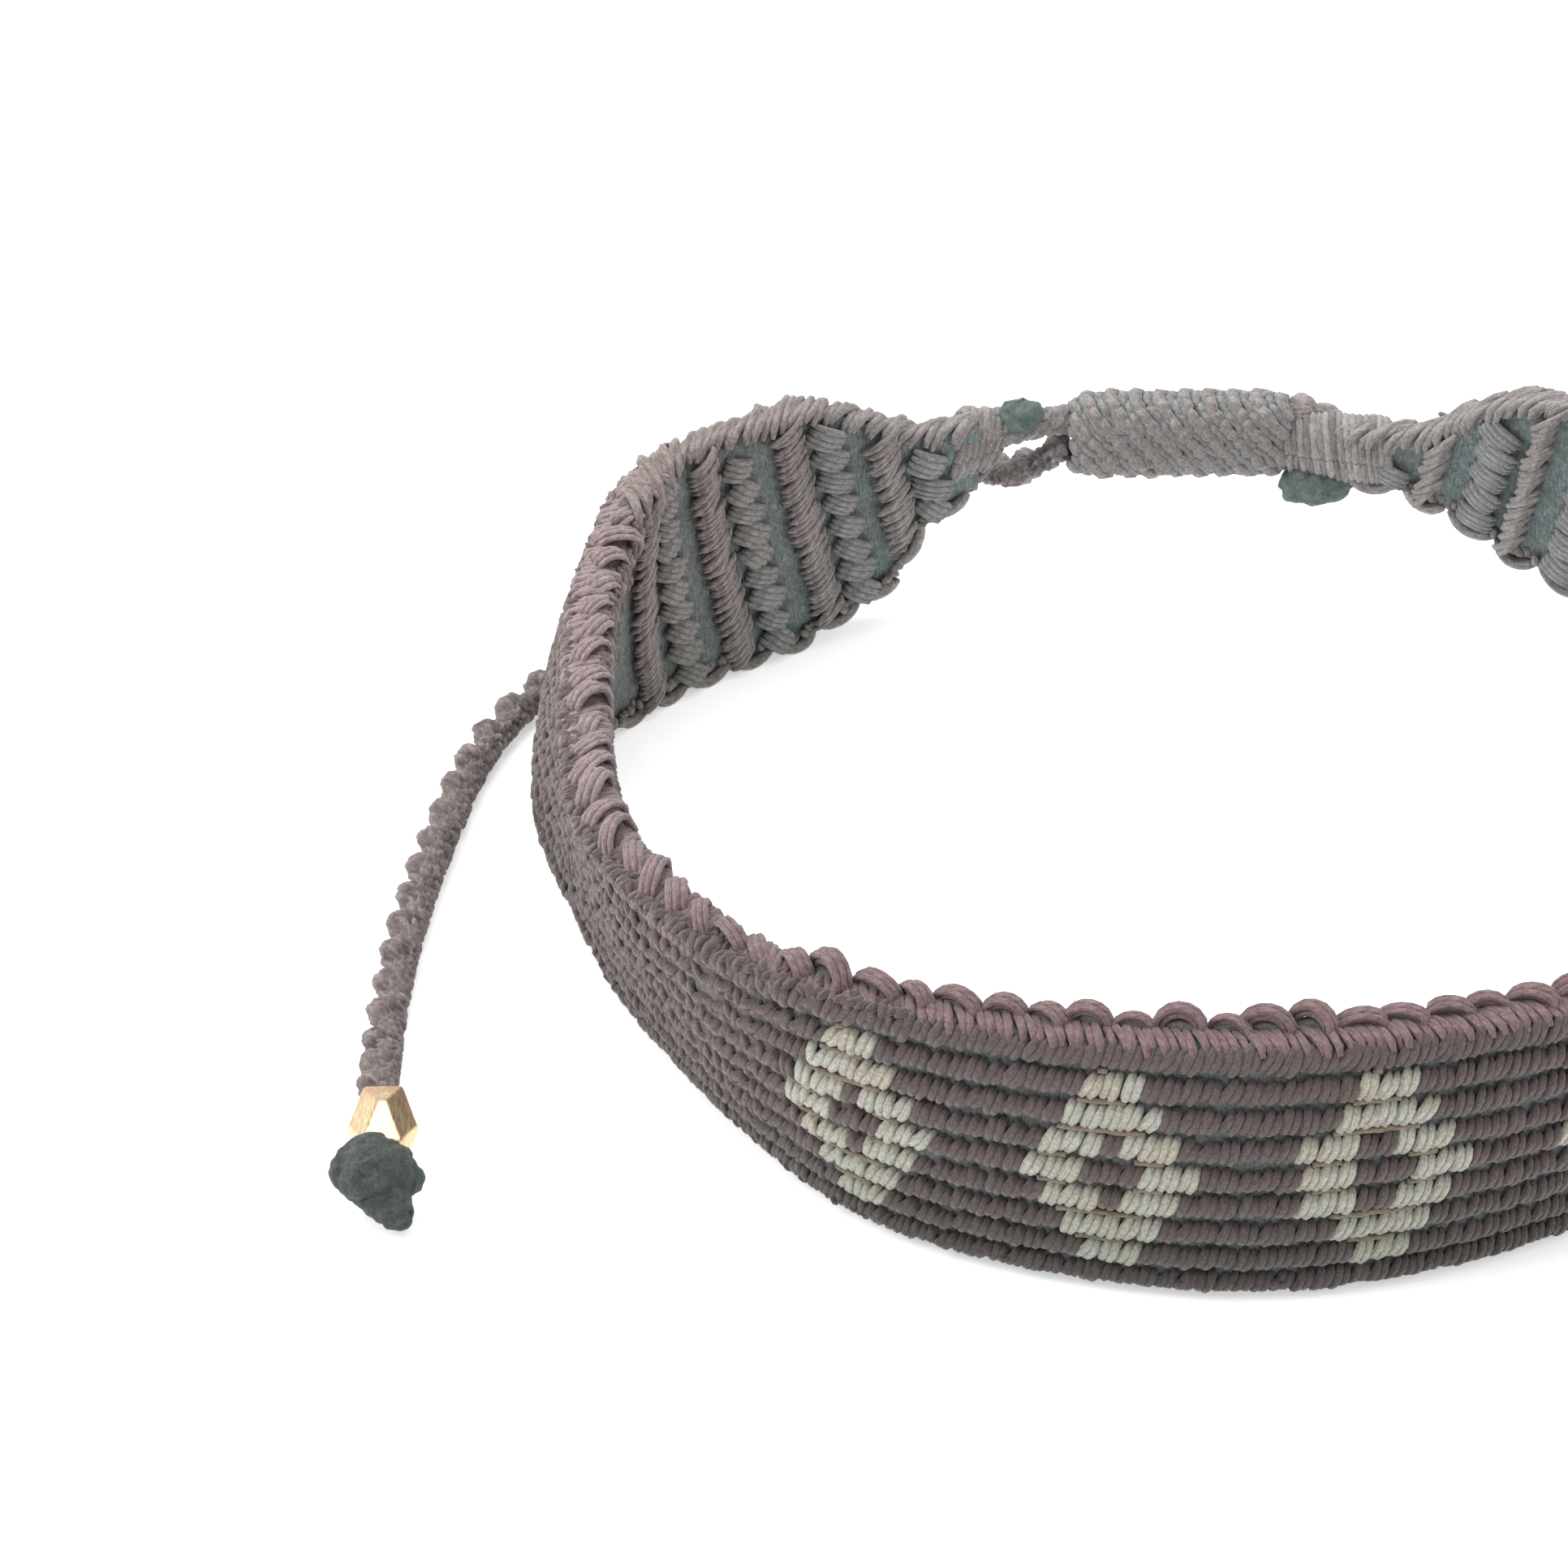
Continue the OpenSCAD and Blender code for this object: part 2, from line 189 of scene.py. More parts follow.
# %% A builder for strands
class Strands:
    """Closed tubes in one mesh, with coordinates along and round them and a tone for each point."""

    def __init__(self):
        self.points, self.faces, self.uvs, self.tones = [], [], [], []

    def join(self, start, rings, sides):
        """Faces between rings of points, from a start on, and a face at each end."""
        for i in range(rings - 1):
            for j in range(sides):
                a, b = start + i * sides + j, start + i * sides + (j + 1) % sides
                self.faces.append((a, b, b + sides, a + sides))
        last = start + (rings - 1) * sides
        self.faces.append(tuple(start + j for j in reversed(range(sides))))
        self.faces.append(tuple(last + j for j in range(sides)))

    def unroll(self, runs, sides, turns=1):
        """Coordinates for the faces of join: U is the run at each ring, V the share of the way round."""
        for low, high in zip(runs, runs[1:]):
            for j in range(sides):
                v, w = turns * j / sides, turns * (j + 1) / sides
                self.uvs += [(low, v), (low, w), (high, w), (high, v)]
        self.uvs += [(runs[0], j / sides) for j in reversed(range(sides))]
        self.uvs += [(runs[-1], j / sides) for j in range(sides)]

    def lay(self, path, radii, sides=6, flat=1.0, up=(0, 0, 1), tone=0.5):
        """One strand along a path in millimetres, with a radius at each of its points."""
        line = Line(path)
        spots, start, last = line.points, len(self.points), len(path) - 1
        for i, p in enumerate(spots):
            t = unit(spots[min(i + 1, last)] - spots[max(i - 1, 0)])
            x = np.cross(up, t)
            x = unit(x) if np.linalg.norm(x) > 1e-6 else np.array([1.0, 0, 0])
            y = np.cross(t, x)
            for j in range(sides):
                a = 2 * math.pi * j / sides
                self.points.append(p + radii[i] * turned(x, flat * y, a))
                self.tones.append(tone)
        self.join(start, len(spots), sides)
        self.unroll(line.run, sides)

    def piece(self, name, material=None, outward=False):
        """An object of the strands; outward turns the faces of a closed skin that way."""
        mesh = bpy.data.meshes.new(name)
        mesh.from_pydata([tuple(p * MM) for p in self.points], [], self.faces)
        mesh.uv_layers.new(name="Strand").data.foreach_set("uv", [c for uv in self.uvs for c in uv])
        mesh.attributes.new("tone", "FLOAT", "POINT").data.foreach_set("value", self.tones)
        mesh.polygons.foreach_set("use_smooth", [True] * len(mesh.polygons))
        mesh.update()
        if outward:
            work = bmesh.new()
            work.from_mesh(mesh)
            bmesh.ops.recalc_face_normals(work, faces=work.faces)
            filled(mesh, work)
        return new_object(name, mesh, material)


sample = Strands()
sample.lay([(0, 0, 0), (1, 0, 0), (2, 0, 0)], [0.2, 0.3, 0.2])
print("a strand of three rings has", len(sample.points), "points and", len(sample.faces), "faces")

# %% Helpers for objects
SIDES = {"left": 1, "right": -1}


def new_object(name, mesh, material=None):
    thing = bpy.data.objects.new(name, mesh)
    bpy.context.scene.collection.objects.link(thing)
    if material:
        mesh.materials.clear()
        mesh.materials.append(material)
    return thing


def filled(mesh, work):
    """The mesh takes what the work in hand holds, and the work is freed."""
    work.to_mesh(mesh)
    work.free()
    return mesh


def applied(thing):
    """The mesh that an object's modifiers make."""
    graph = bpy.context.evaluated_depsgraph_get()
    return bpy.data.meshes.new_from_object(thing.evaluated_get(graph), depsgraph=graph)


def seat(thing, node):
    """A finished piece rides on the bracelet and stands for its CAD node."""
    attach(thing, "root")
    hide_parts(node)
    triangles = sum(len(p.vertices) - 2 for p in thing.data.polygons)
    print(thing.name, triangles, "triangles")


print("sides of the bracelet:", ", ".join(SIDES))

# %% [markdown]
# ## Short words for node trees
# A material is a tree of nodes and links. Written out in full it hides what it does, so a few short
# helpers come first. An input takes either a plain value or the output of another node, and one
# helper feeds both kinds. The others add a node, mix two colours and turn a range into 0 to 1.

# %% Helpers for node trees
def feed(tree, node, inputs):
    for key, value in inputs.items():
        if isinstance(value, bpy.types.NodeSocket):
            tree.links.new(value, node.inputs[key])
        else:
            node.inputs[key].default_value = value


def node_of(tree, kind, inputs=None, **values):
    node = tree.nodes.new(kind)
    for key, value in values.items():
        setattr(node, key, value)
    feed(tree, node, inputs or {})
    return node


def rgb(r, g, b):
    """A colour as a person reads it off a picture, 0 to 255, made linear for the shader."""
    return tuple((c / 255 / 12.92) if c / 255 <= 0.04045 else ((c / 255 + 0.055) / 1.055) ** 2.4
                 for c in (r, g, b)) + (1.0,)


def grey(value):
    return (value, value, value, 1)


def mix_colour(tree, factor, a, b, blend="MIX"):
    inputs = {0: factor, 6: a, 7: b}
    return node_of(tree, "ShaderNodeMix", inputs, data_type="RGBA", blend_type=blend).outputs[2]


def ramp(tree, value, low, high, bottom=0.0, top=1.0):
    inputs = {0: value, 1: low, 2: high, 3: bottom, 4: top}
    return node_of(tree, "ShaderNodeMapRange", inputs, clamp=True).outputs[0]


def stretched(tree, vector, scale):
    return node_of(tree, "ShaderNodeMapping", {"Vector": vector, "Scale": scale}).outputs[0]


def noise_of(tree, vector, scale, detail, roughness=0.5):
    inputs = {"Vector": vector, "Scale": scale, "Detail": detail, "Roughness": roughness}
    return node_of(tree, "ShaderNodeTexNoise", inputs).outputs["Fac"]


def bumpy(tree, shader, reliefs, strength):
    """Stack of bumps: rows of a pattern and the depth of its relief in metres."""
    above = {}
    for height, depth in reliefs:
        inputs = {"Height": height, "Distance": depth, "Strength": strength, **above}
        above = {"Normal": node_of(tree, "ShaderNodeBump", inputs).outputs[0]}
    feed(tree, shader, above)


def new_material(name):
    material = bpy.data.materials.new(name)
    material.use_nodes = True
    return material, material.node_tree, material.node_tree.nodes["Principled BSDF"]


print("a middle grey of 128 is", round(rgb(128, 128, 128)[0], 3), "for the shader")

# %% [markdown]
# ## The thread's finish
# The thread is waxed and slightly hairy: fine plies twisted together, mauve where light meets it
# and greener in the hollows. One tree serves all threads. The twist is a band pattern that crosses
# the strand's own U and V, the fibres are noise drawn out along the strand, and two noises in
# object space make the fuzz, a tenth of a millimetre wide, and broad patches.

# %% Patterns of the thread
TWIST = 2.2
PATCHES = 600
FUZZ = 8000
FIBRE_STRETCH = (1.6, 11, 1)


def thread_patterns(tree, twist, patches):
    """Plies, fibres, fuzz and patches."""
    place = node_of(tree, "ShaderNodeTexCoord").outputs["Object"]
    strand = node_of(tree, "ShaderNodeUVMap", uv_map="Strand").outputs[0]
    bands = {"Vector": stretched(tree, strand, (twist, 2.0, 1)), "Scale": 0.5, "Distortion": 1.5, "Detail": 2}
    ply = node_of(tree, "ShaderNodeTexWave", bands, wave_type="BANDS", bands_direction="DIAGONAL")
    fibre = noise_of(tree, stretched(tree, strand, FIBRE_STRETCH), 1.0, 3)
    fuzz = noise_of(tree, place, FUZZ, 3, 0.65)
    return ply.outputs["Fac"], fibre, fuzz, noise_of(tree, place, patches, 2)


print("one patch is about", round(1000 / PATCHES, 1), "mm across")

# %% [markdown]
# The bracelet isn't one colour all round. Its foot is darker and greener, painted shade, the front is
# darker and the sides paler, painted light, and behind, the thread is paler and greener. Each is a tint
# that changes along one direction in space, so a table holds them: the direction, where the change
# starts and ends, in metres, and the tint before and after.

# %% Painted shade and light, and the paler back
# Painted light: the front comes out darker and the sides lighter; painted shade: the foot darker and greener.
SIDE_LIGHT = (1.08, 1.07, 1.08, 1)
TINTS_BY_PLACE = {"foot": ((0, 0, 1), 0.0, 0.006, (0.72, 0.8, 0.78, 1), grey(1)),
        "sides": ((0, 1, 0), -0.025, -0.008, (0.76, 0.76, 0.78, 1), SIDE_LIGHT),
        "back": ((0.12, 1, 0), 0.014, 0.025, grey(1), (1.08, 1.23, 1.27, 1))}


def tinted_by_place(tree, colour, side_light):
    """Colour with painted shade at the foot, painted light on front and sides, and a paler back; a thread may
    bring its own side tint.
    """
    place = node_of(tree, "ShaderNodeTexCoord").outputs["Object"]
    for part, (direction, low, high, before, after) in TINTS_BY_PLACE.items():
        reach = node_of(tree, "ShaderNodeVectorMath", {0: place, 1: direction}, operation="DOT_PRODUCT")
        after = side_light if part == "sides" else after
        tint = mix_colour(tree, ramp(tree, reach.outputs["Value"], low, high), before, after)
        colour = mix_colour(tree, 1.0, colour, tint, "MULTIPLY")
    return colour


print("tints at:", ", ".join(TINTS_BY_PLACE))

# %% [markdown]
# Each stitch stores a tone, which picks its colour between a dark and a light one, and the patches
# bring in a warmer third. Fuzz and fibres darken and lighten it, and give the relief with the plies.
# Sheen stands for the loose hairs, which catch light at the thread's edges.

# %% Thread materials
# side_light is the tint that paints light on the sides.
def thread_material(name, dark, light, warm, sheen=0.25, rough=0.8, twist=TWIST, patches=PATCHES, relief=1.0,
                    side_light=SIDE_LIGHT):
    material, tree, shader = new_material(name)
    ply, fibre, fuzz, patch = thread_patterns(tree, twist, patches)
    tone = node_of(tree, "ShaderNodeAttribute", attribute_name="tone").outputs["Fac"]
    colour = mix_colour(tree, tone, rgb(*dark), rgb(*light))
    colour = mix_colour(tree, ramp(tree, patch, 0.4, 0.68), colour, rgb(*warm))
    for source, low, high, dim, bright in ((fuzz, 0.35, 0.65, 0.7, 1.22), (fibre, 0.3, 0.7, 0.68, 1.25)):
        shade = mix_colour(tree, ramp(tree, source, low, high), grey(dim), grey(bright))
        colour = mix_colour(tree, 1.0, colour, shade, "MULTIPLY")
    feed(tree, shader, {"Base Color": tinted_by_place(tree, colour, side_light), "Roughness": rough, "Sheen Weight": sheen,
                        "Sheen Roughness": 0.5, "Specular IOR Level": 0.2})
    uneven = [(ply, 0.00005), (fibre, 0.00007), (fuzz, 0.00004 * relief)]
    if relief > 1:
        uneven.append((patch, 0.0001 * (relief - 1)))
    bumpy(tree, shader, uneven, 0.7)
    return material


mauve = thread_material("mauve_thread", (81, 71, 70), (116, 101, 98), (99, 88, 83))
# The rim's thread paints its sides paler and greener than the others: painted light.
rim_mauve = thread_material("rim_thread", (106, 86, 87), (158, 130, 131), (131, 107, 105),
                            side_light=(1.19, 1.4, 1.4, 1))
dusty = thread_material("taper_thread", (108, 99, 96), (154, 140, 136), (130, 118, 113))
# The shaded thread is a darker copy for the tapers' columns and the sleeve's valleys: painted shade.
shaded = thread_material("column_thread", (106, 104, 101), (143, 135, 131), (122, 117, 113))
# The tail thread spans dark to light, since its skin darkens the tone in creases as painted shade.
tail_thread = thread_material("tail_thread", (76, 69, 69), (168, 148, 146), (134, 118, 115))
cream = thread_material("cream_thread", (161, 160, 148), (201, 200, 187), (180, 172, 154))
tan = thread_material("tan_thread", (131, 115, 96), (162, 146, 125), (144, 129, 107))
# The hollow thread is the green-grey of the grooves; behind the front rim loops it is painted shade.
hollow = thread_material("hollow_thread", (110, 118, 116), (106, 97, 94), (112, 110, 106), 0.1, 0.9)
gap_rear = thread_material("gap_thread", (106, 112, 110), (126, 131, 129), (121, 121, 118),
                           0.1, 0.9, patches=2400, relief=2.0)
threads = (mauve, rim_mauve, dusty, shaded, tail_thread, cream, tan, hollow, gap_rear)
print("thread finishes:", ", ".join(m.name for m in threads))

# %% [markdown]
# ## One tree that lays stitches
# A stitch repeats thousands of times, so Geometry Nodes lay it. The tree takes loose points that
# carry three things: the way the stitch runs, the way it faces, and its size. It turns a copy of
# the stitch to fit each point, jitters it a little from a fixed seed, gives it a tone of its own,
# makes the copies real and sets the thread.

# %% The stitch tree
SOCKETS = {"Stitch": "Object", "Size jitter": "Float", "Turn jitter": "Float", "Tilt jitter": "Float",
           "Seed": "Int", "Thread": "Material"}


def stitch_tree():
    tree = bpy.data.node_groups.new("Lay stitches", "GeometryNodeTree")
    for name, kind in {"Geometry": "Geometry", **SOCKETS}.items():
        tree.interface.new_socket(name, in_out="INPUT", socket_type="NodeSocket" + kind)
    tree.interface.new_socket("Geometry", in_out="OUTPUT", socket_type="NodeSocketGeometry")
    given = node_of(tree, "NodeGroupInput").outputs

    def carried(name):
        vector = node_of(tree, "GeometryNodeInputNamedAttribute", {"Name": name}, data_type="FLOAT_VECTOR")
        return vector.outputs["Attribute"]

    def dice(kind, first, low, high, shift):
        seed = node_of(tree, "ShaderNodeMath", {0: given["Seed"], 1: shift}, operation="ADD").outputs[0]
        inputs = {first: low, first + 1: high, "Seed": seed}
        return node_of(tree, "FunctionNodeRandomValue", inputs, data_type=kind)

    def thrown(shift):
        return dice("FLOAT_VECTOR", 0, (-1, -1, -1), (1, 1, 1), shift).outputs[0]

    def vector_of(operation, a, b, second=1):
        return node_of(tree, "ShaderNodeVectorMath", {0: a, second: b}, operation=operation).outputs[0]

    # Turn a copy to face outward and run along, then wobble it.
    axes = {"Primary Axis": carried("outward"), "Secondary Axis": carried("along")}
    turn = node_of(tree, "FunctionNodeAxesToRotation", axes, primary_axis="Z", secondary_axis="X").outputs[0]
    most = {"X": given["Tilt jitter"], "Y": given["Tilt jitter"], "Z": given["Turn jitter"]}
    angles = vector_of("MULTIPLY", thrown(1), node_of(tree, "ShaderNodeCombineXYZ", most).outputs[0])
    turns = {0: turn, 1: node_of(tree, "FunctionNodeEulerToRotation", {0: angles}).outputs[0]}
    both = node_of(tree, "FunctionNodeRotateRotation", turns, rotation_space="LOCAL").outputs[0]
    # Its size is the point's own, give or take the jitter.
    size = carried("size")
    change = vector_of("SCALE", thrown(2), given["Size jitter"], "Scale")
    grown = vector_of("ADD", size, vector_of("MULTIPLY", size, change))
    # Set a copy on each point, give it a tone, make it real and set the thread.
    stitch = node_of(tree, "GeometryNodeObjectInfo", {"Object": given["Stitch"]}).outputs["Geometry"]
    spread = {"Points": given["Geometry"], "Instance": stitch, "Rotation": both, "Scale": grown}
    copies = node_of(tree, "GeometryNodeInstanceOnPoints", spread).outputs[0]
    tone = {"Geometry": copies, "Name": "tone", "Value": dice("FLOAT", 2, 0.0, 1.0, 3).outputs[1]}
    toned = node_of(tree, "GeometryNodeStoreNamedAttribute", tone, data_type="FLOAT", domain="INSTANCE")
    real = node_of(tree, "GeometryNodeRealizeInstances", {0: toned.outputs[0]}).outputs[0]
    thread = {"Geometry": real, "Material": given["Thread"]}
    node_of(tree, "NodeGroupOutput", {0: node_of(tree, "GeometryNodeSetMaterial", thread).outputs[0]})
    return tree


LAY_STITCHES = stitch_tree()
print("tree:", LAY_STITCHES.name, len(LAY_STITCHES.nodes), "nodes")

# %% [markdown]
# The tree reads points, so a helper writes them: a mesh of loose vertices with the attributes, the
# modifier with its inputs, and then the plain mesh that comes out of it, seated at once. The jitters
# are for size, as a share, and for turn and tilt, in radians.

# %% Lay stitches on a list of points
def lay_stitches(name, points, stitch, material, seed, jitters, node):
    """Points are rows of place, along, outward and size."""
    mesh = bpy.data.meshes.new(name + "_points")
    mesh.from_pydata([tuple(np.array(p[0]) * MM) for p in points], [], [])
    for column, key in ((1, "along"), (2, "outward"), (3, "size")):
        values = np.array([p[column] for p in points], np.float32).reshape(-1)
        mesh.attributes.new(key, "FLOAT_VECTOR", "POINT").data.foreach_set("vector", values)
    holder = new_object(name + "_points", mesh)
    modifier = holder.modifiers.new("stitches", "NODES")
    modifier.node_group = LAY_STITCHES
    items = LAY_STITCHES.interface.items_tree
    sockets = {item.name: item.identifier for item in items if item.in_out == "INPUT"}
    for key, value in zip(SOCKETS, (stitch, *jitters, seed, material)):
        modifier[sockets[key]] = value
    made = applied(holder)
    made.name = name
    bpy.data.objects.remove(holder)
    seat(new_object(name, made), node)


print("a row of stitches takes:", ", ".join(SOCKETS))

# %% [markdown]
# The stitches themselves are short bent strands of a few faces. A hitch is the slanted stitch of the
# band: its ends dive in where the thread passes behind the cord. A bean is a small plump lump.

# %% Forms of stitches
DROP = 0.5


def stitch_form(name, xs, zs, radii, sides=6, flat=0.85, shifts=(0,)):
    """A bent strand along X, bulging to Z; with several shifts, strands side by side that drop outward."""
    strands = Strands()
    for shift in shifts:
        strands.lay([(x, shift, z - DROP * shift * shift) for x, z in zip(xs, zs)], radii, sides, flat)
    return strands.piece(name)


hitch = stitch_form("hitch", [-0.60, -0.46, -0.17, 0.17, 0.46, 0.60], [-0.42, -0.16, 0, 0, -0.16, -0.42],
                    [0.11, 0.19, 0.225, 0.225, 0.19, 0.11])
hitch_inside = stitch_form("hitch_inside", [-0.6, -0.4, 0, 0.4, 0.6], [-0.42, -0.12, 0.02, -0.12, -0.42],
                           [0.11, 0.2, 0.235, 0.2, 0.11], 5)
bean = stitch_form("bean", [-0.5, -0.3, 0, 0.3, 0.5], [-0.1, -0.02, 0.02, -0.02, -0.1],
                   [0.08, 0.2, 0.25, 0.2, 0.08], 5)
FORMS = [hitch, hitch_inside, bean]
print("one hitch has", len(hitch.data.polygons), "faces and a bean", len(bean.data.polygons))

# %% [markdown]
# ## The cords under the stitches
# Between the stitches one sees into the band, where the carrier cords lie in shade. A slim closed
# wall with a ridge for each rib stands for them, a little under the stitches. It follows the same
# wall function, and three such walls make the band and the tapers. The tapers' edges come from the
# table of the CAD source: along the taper, upper and lower edge, as shares of its length and height.

# %% Edges of the tapers
TIP = {1: 9.6, -1: 7.6}
TAPER_LEN = 9.0
TAPER = {
    1: [(0.00, 0.77, 0.49), (0.20, 0.77, 0.45), (0.34, 0.78, 0.34), (0.44, 0.82, 0.19), (0.60, 0.87, 0.13),
        (0.80, 0.95, 0.08), (1.00, 1.00, 0.02), (1.20, 1.00, 0.00)],
    -1: [(0.00, 0.71, 0.52), (0.34, 0.72, 0.51), (0.50, 0.76, 0.45), (0.60, 0.81, 0.43), (0.76, 0.89, 0.38),
         (0.93, 0.95, 0.31), (1.15, 0.98, 0.27), (1.60, 1.00, 0.12), (2.00, 1.00, 0.00)]}


def edges(side, at):
    """Lower and upper edge of a taper, at a distance from its narrow end; the side is 1 for the left."""
    shares, upper, lower = np.array(TAPER[side]).T
    share = max(0.0, at) / TAPER_LEN
    return BAND_H * np.interp(share, shares, lower), BAND_H * np.interp(share, shares, upper)


def from_tip(s):
    """Distance of a place on the loop from the narrow end of its taper."""
    return HALF_LEN - abs(s) - TIP[1 if s > 0 else -1]


print("the tapers are", [round(float(from_tip(s * BAND_HALF_LEN)), 1) for s in (1, -1)], "mm long")

# %% [markdown]
# The front of the band is knotted in even rows. Towards the sides the knots loosen into grains, the
# grooves between rows fill up, and what shows in them turns from green shade to mauve thread. One
# function from 0 to 1 says how loose the band is, for the cords here and for the stitches later.

# %% Ridged walls under the stitches
LOOSE_FROM, LOOSE_OVER = 14, 12
FACE_GAP = 0.15


def loosened(s):
    """From 0 in the even rows of the front to 1 in the grainy sides."""
    return min(1, max(0, (abs(s) - LOOSE_FROM) / LOOSE_OVER))


def slim_wall(name, s_values, limits, ridges, material, crest, dip, looseness):
    """Closed wall between two heights with ridges along it; looseness lifts its grooves and its tone."""
    shell = Strands()
    sides = 2 * (2 * ridges + 1)
    for s in s_values:
        low, top = limits(s)
        loose = looseness(s)
        zs = np.linspace(low + FACE_GAP, top - FACE_GAP, 2 * ridges + 1)
        depths = [crest - 0.14 * loose + dip * (1 - 0.5 * loose) * (k % 2 == 0) for k in range(len(zs))]
        shell.points += [wall(s, z, d) for z, d in zip(zs, depths)]
        shell.points += [wall(s, z, BAND_T - d) for z, d in zip(zs[::-1], depths[::-1])]
        shell.tones += [loose] * sides
    shell.join(0, len(s_values), sides)
    shell.uvs = [(shell.points[v][2], shell.points[v][0]) for face in shell.faces for v in face]
    return shell.piece(name, material, outward=True)


band_s = np.linspace(-BAND_HALF_LEN, BAND_HALF_LEN, 120)
core = slim_wall("band_core", band_s, lambda s: (0, RIB_TOP), RIBS, hollow, 0.36, 0.22, loosened)
seat(core, "band")
for word, side in SIDES.items():
    taper_s = side * np.linspace(BAND_HALF_LEN + 0.05, HALF_LEN - TIP[side], 40)
    core = slim_wall("taper_core_" + word, taper_s, lambda s: edges(side, from_tip(s)), 4, gap_rear,
                     0.6, 0.1, lambda s: 0)
    seat(core, "taper_" + word)

# %% [markdown]
# ## The motif
# Some knots of the front are hitched with a cream thread. A chart says which, as a knotter would
# draw it on squared paper: seven rows between a plain row at each edge, one letter for each knot,
# which is two stitches wide. The chart here is a plain stepped lozenge, a shape as old as weaving,
# set four times across the front.

# %% The chart
LOZENGE = ["...xxx...",
           "..xxxxx..",
           ".xxx.xxx.",
           "xxx...xxx",
           ".xxx.xxx.",
           "..xxxxx..",
           "...xxx..."]
WIDE, TALL = len(LOZENGE[0]), len(LOZENGE)
KNOT = 0.8
MOTIF_AT = (-21, -7, 7, 21)


def is_cream(row, s):
    """Whether the knot at s in a row of the band, counted from the lower edge, is cream."""
    if not 1 <= row <= TALL:
        return False
    line = LOZENGE[TALL - row]
    columns = [math.floor(s / KNOT) - middle + WIDE // 2 for middle in MOTIF_AT]
    return any(0 <= column < WIDE and line[column] == "x" for column in columns)


print("cream knots in one motif:", sum(line.count("x") for line in LOZENGE))

# %% [markdown]
# ## The stitches of the band
# Each rib shows slanted stitches side by side, leaning to the right at the top. Two neighbours make
# one knot, so they come in pairs with a small step between pairs, and no two knots sit quite alike.
# Dark stitches are pulled tighter than cream ones, which leaves more shade between their rows.
# Towards the sides the pairs spread, jitter more and turn freely, which gives the grainy sides.

# %% Stitches of both faces
SLANT = math.radians(27)
KNOTS = int(2 * BAND_HALF_LEN / KNOT)
STITCH_DEPTH = 0.2
LOWEST = 0.76
TOP_LENGTH, CREAM_LENGTH, PLAIN_LENGTH = 1.08, 1.1, 0.96
die = random.Random(7)


def give(most):
    """A small difference to either side, from the die."""
    return die.uniform(-most, most)


def rib_points(face):
    """Points for the plain and the cream stitches of one face; the lowest row stays off the surface."""
    plain, light = [], []
    for row in range(RIBS):
        for i in range(KNOTS):
            middle = (i + 0.5 - KNOTS / 2) * KNOT
            loose = loosened(middle)
            shift, lift = (give(0.06) * (1 + 0.8 * loose) for _ in range(2))
            depth = STITCH_DEPTH + give(0.06)
            slant = SLANT + give(0.18)
            white = face == OUTER and is_cream(row, middle)
            length = TOP_LENGTH if row == RIBS - 1 else CREAM_LENGTH if white else PLAIN_LENGTH
            size = (length * (1 + 0.03 * loose), 1.07 + 0.05 * loose, 1.0)
            rows = light if white else plain
            for half in (-1, 1):
                s = middle + half * (0.165 + 0.03 * loose) + shift
                z = (row + 0.5) * RIB_H + lift + half * (0.03 + 0.06 * loose)
                p, right, up, out = on_face(s, max(LOWEST, z), depth, face)
                rows.append((p, turned(up, right, slant + loose * die.uniform(-1.1, 0.9)), out, size))
    return plain, light


front_plain, front_cream = rib_points(OUTER)
back_plain, _ = rib_points(INNER)
for name, rows, form, thread, seed, jitters, slot in (
        ("face_stitches", front_plain, hitch, mauve, 11, (0.13, 0.12, 0.08), "mauve_thread"),
        ("motif_stitches", front_cream, hitch, cream, 12, (0.06, 0.08, 0.05), "cream_thread"),
        ("lining_stitches", back_plain, hitch_inside, mauve, 13, (0.12, 0.12, 0.08), "mauve_thread")):
    lay_stitches(name, rows, form, thread, seed, jitters, "band")

# %% [markdown]
# Under the cream knots the carrier cord shows tan, so a thin strand runs in the groove between rows
# wherever a row beside it is cream. Each run stops short of its ends, where mauve knots cover it.

# %% Tan carrier threads
HALF_KNOT = KNOT / 2
ENOUGH = 5
CARRIER_DEPTH = 0.4
across_motifs = range(-60, 61)
carriers = Strands()
for row in range(1, TALL + 1):
    run = []
    for i in across_motifs:
        s = (i + 0.5) * HALF_KNOT
        if is_cream(row, s) or is_cream(row + 1, s):
            run.append(wall(s, (row + 1) * RIB_H + give(0.04), CARRIER_DEPTH))
            continue
        if len(run) > ENOUGH:
            carriers.lay(run[2:-2], [die.uniform(0.12, 0.17) for _ in run[2:-2]])
        run = []
seat(carriers.piece("carrier_threads", tan), "band")

# %% [markdown]
# ## The rim
# Where the working threads turn from one face to the other they stand up as loops along the inner
# side of the upper edge. Each is a bundle of four strands that rises, runs slanting over the edge
# and dives under the next, so the edge is scalloped. The bundle is modelled once, as arches side by
# side, and the tree sets it along the edge. Plainer turns, one strand each, go round both edges.

# %% Forms for the rim
def arch(length, height, leg, steps=8):
    """Places along and above the edge for one arch; its two feet go down by a leg more."""
    angles = [math.pi * (k / steps - 0.5) for k in range(steps + 1)]
    xs = [length / 2 * math.sin(a) for a in angles]
    zs = [height * math.cos(a) for a in angles]
    zs[0] -= leg
    zs[-1] -= leg
    return xs, zs


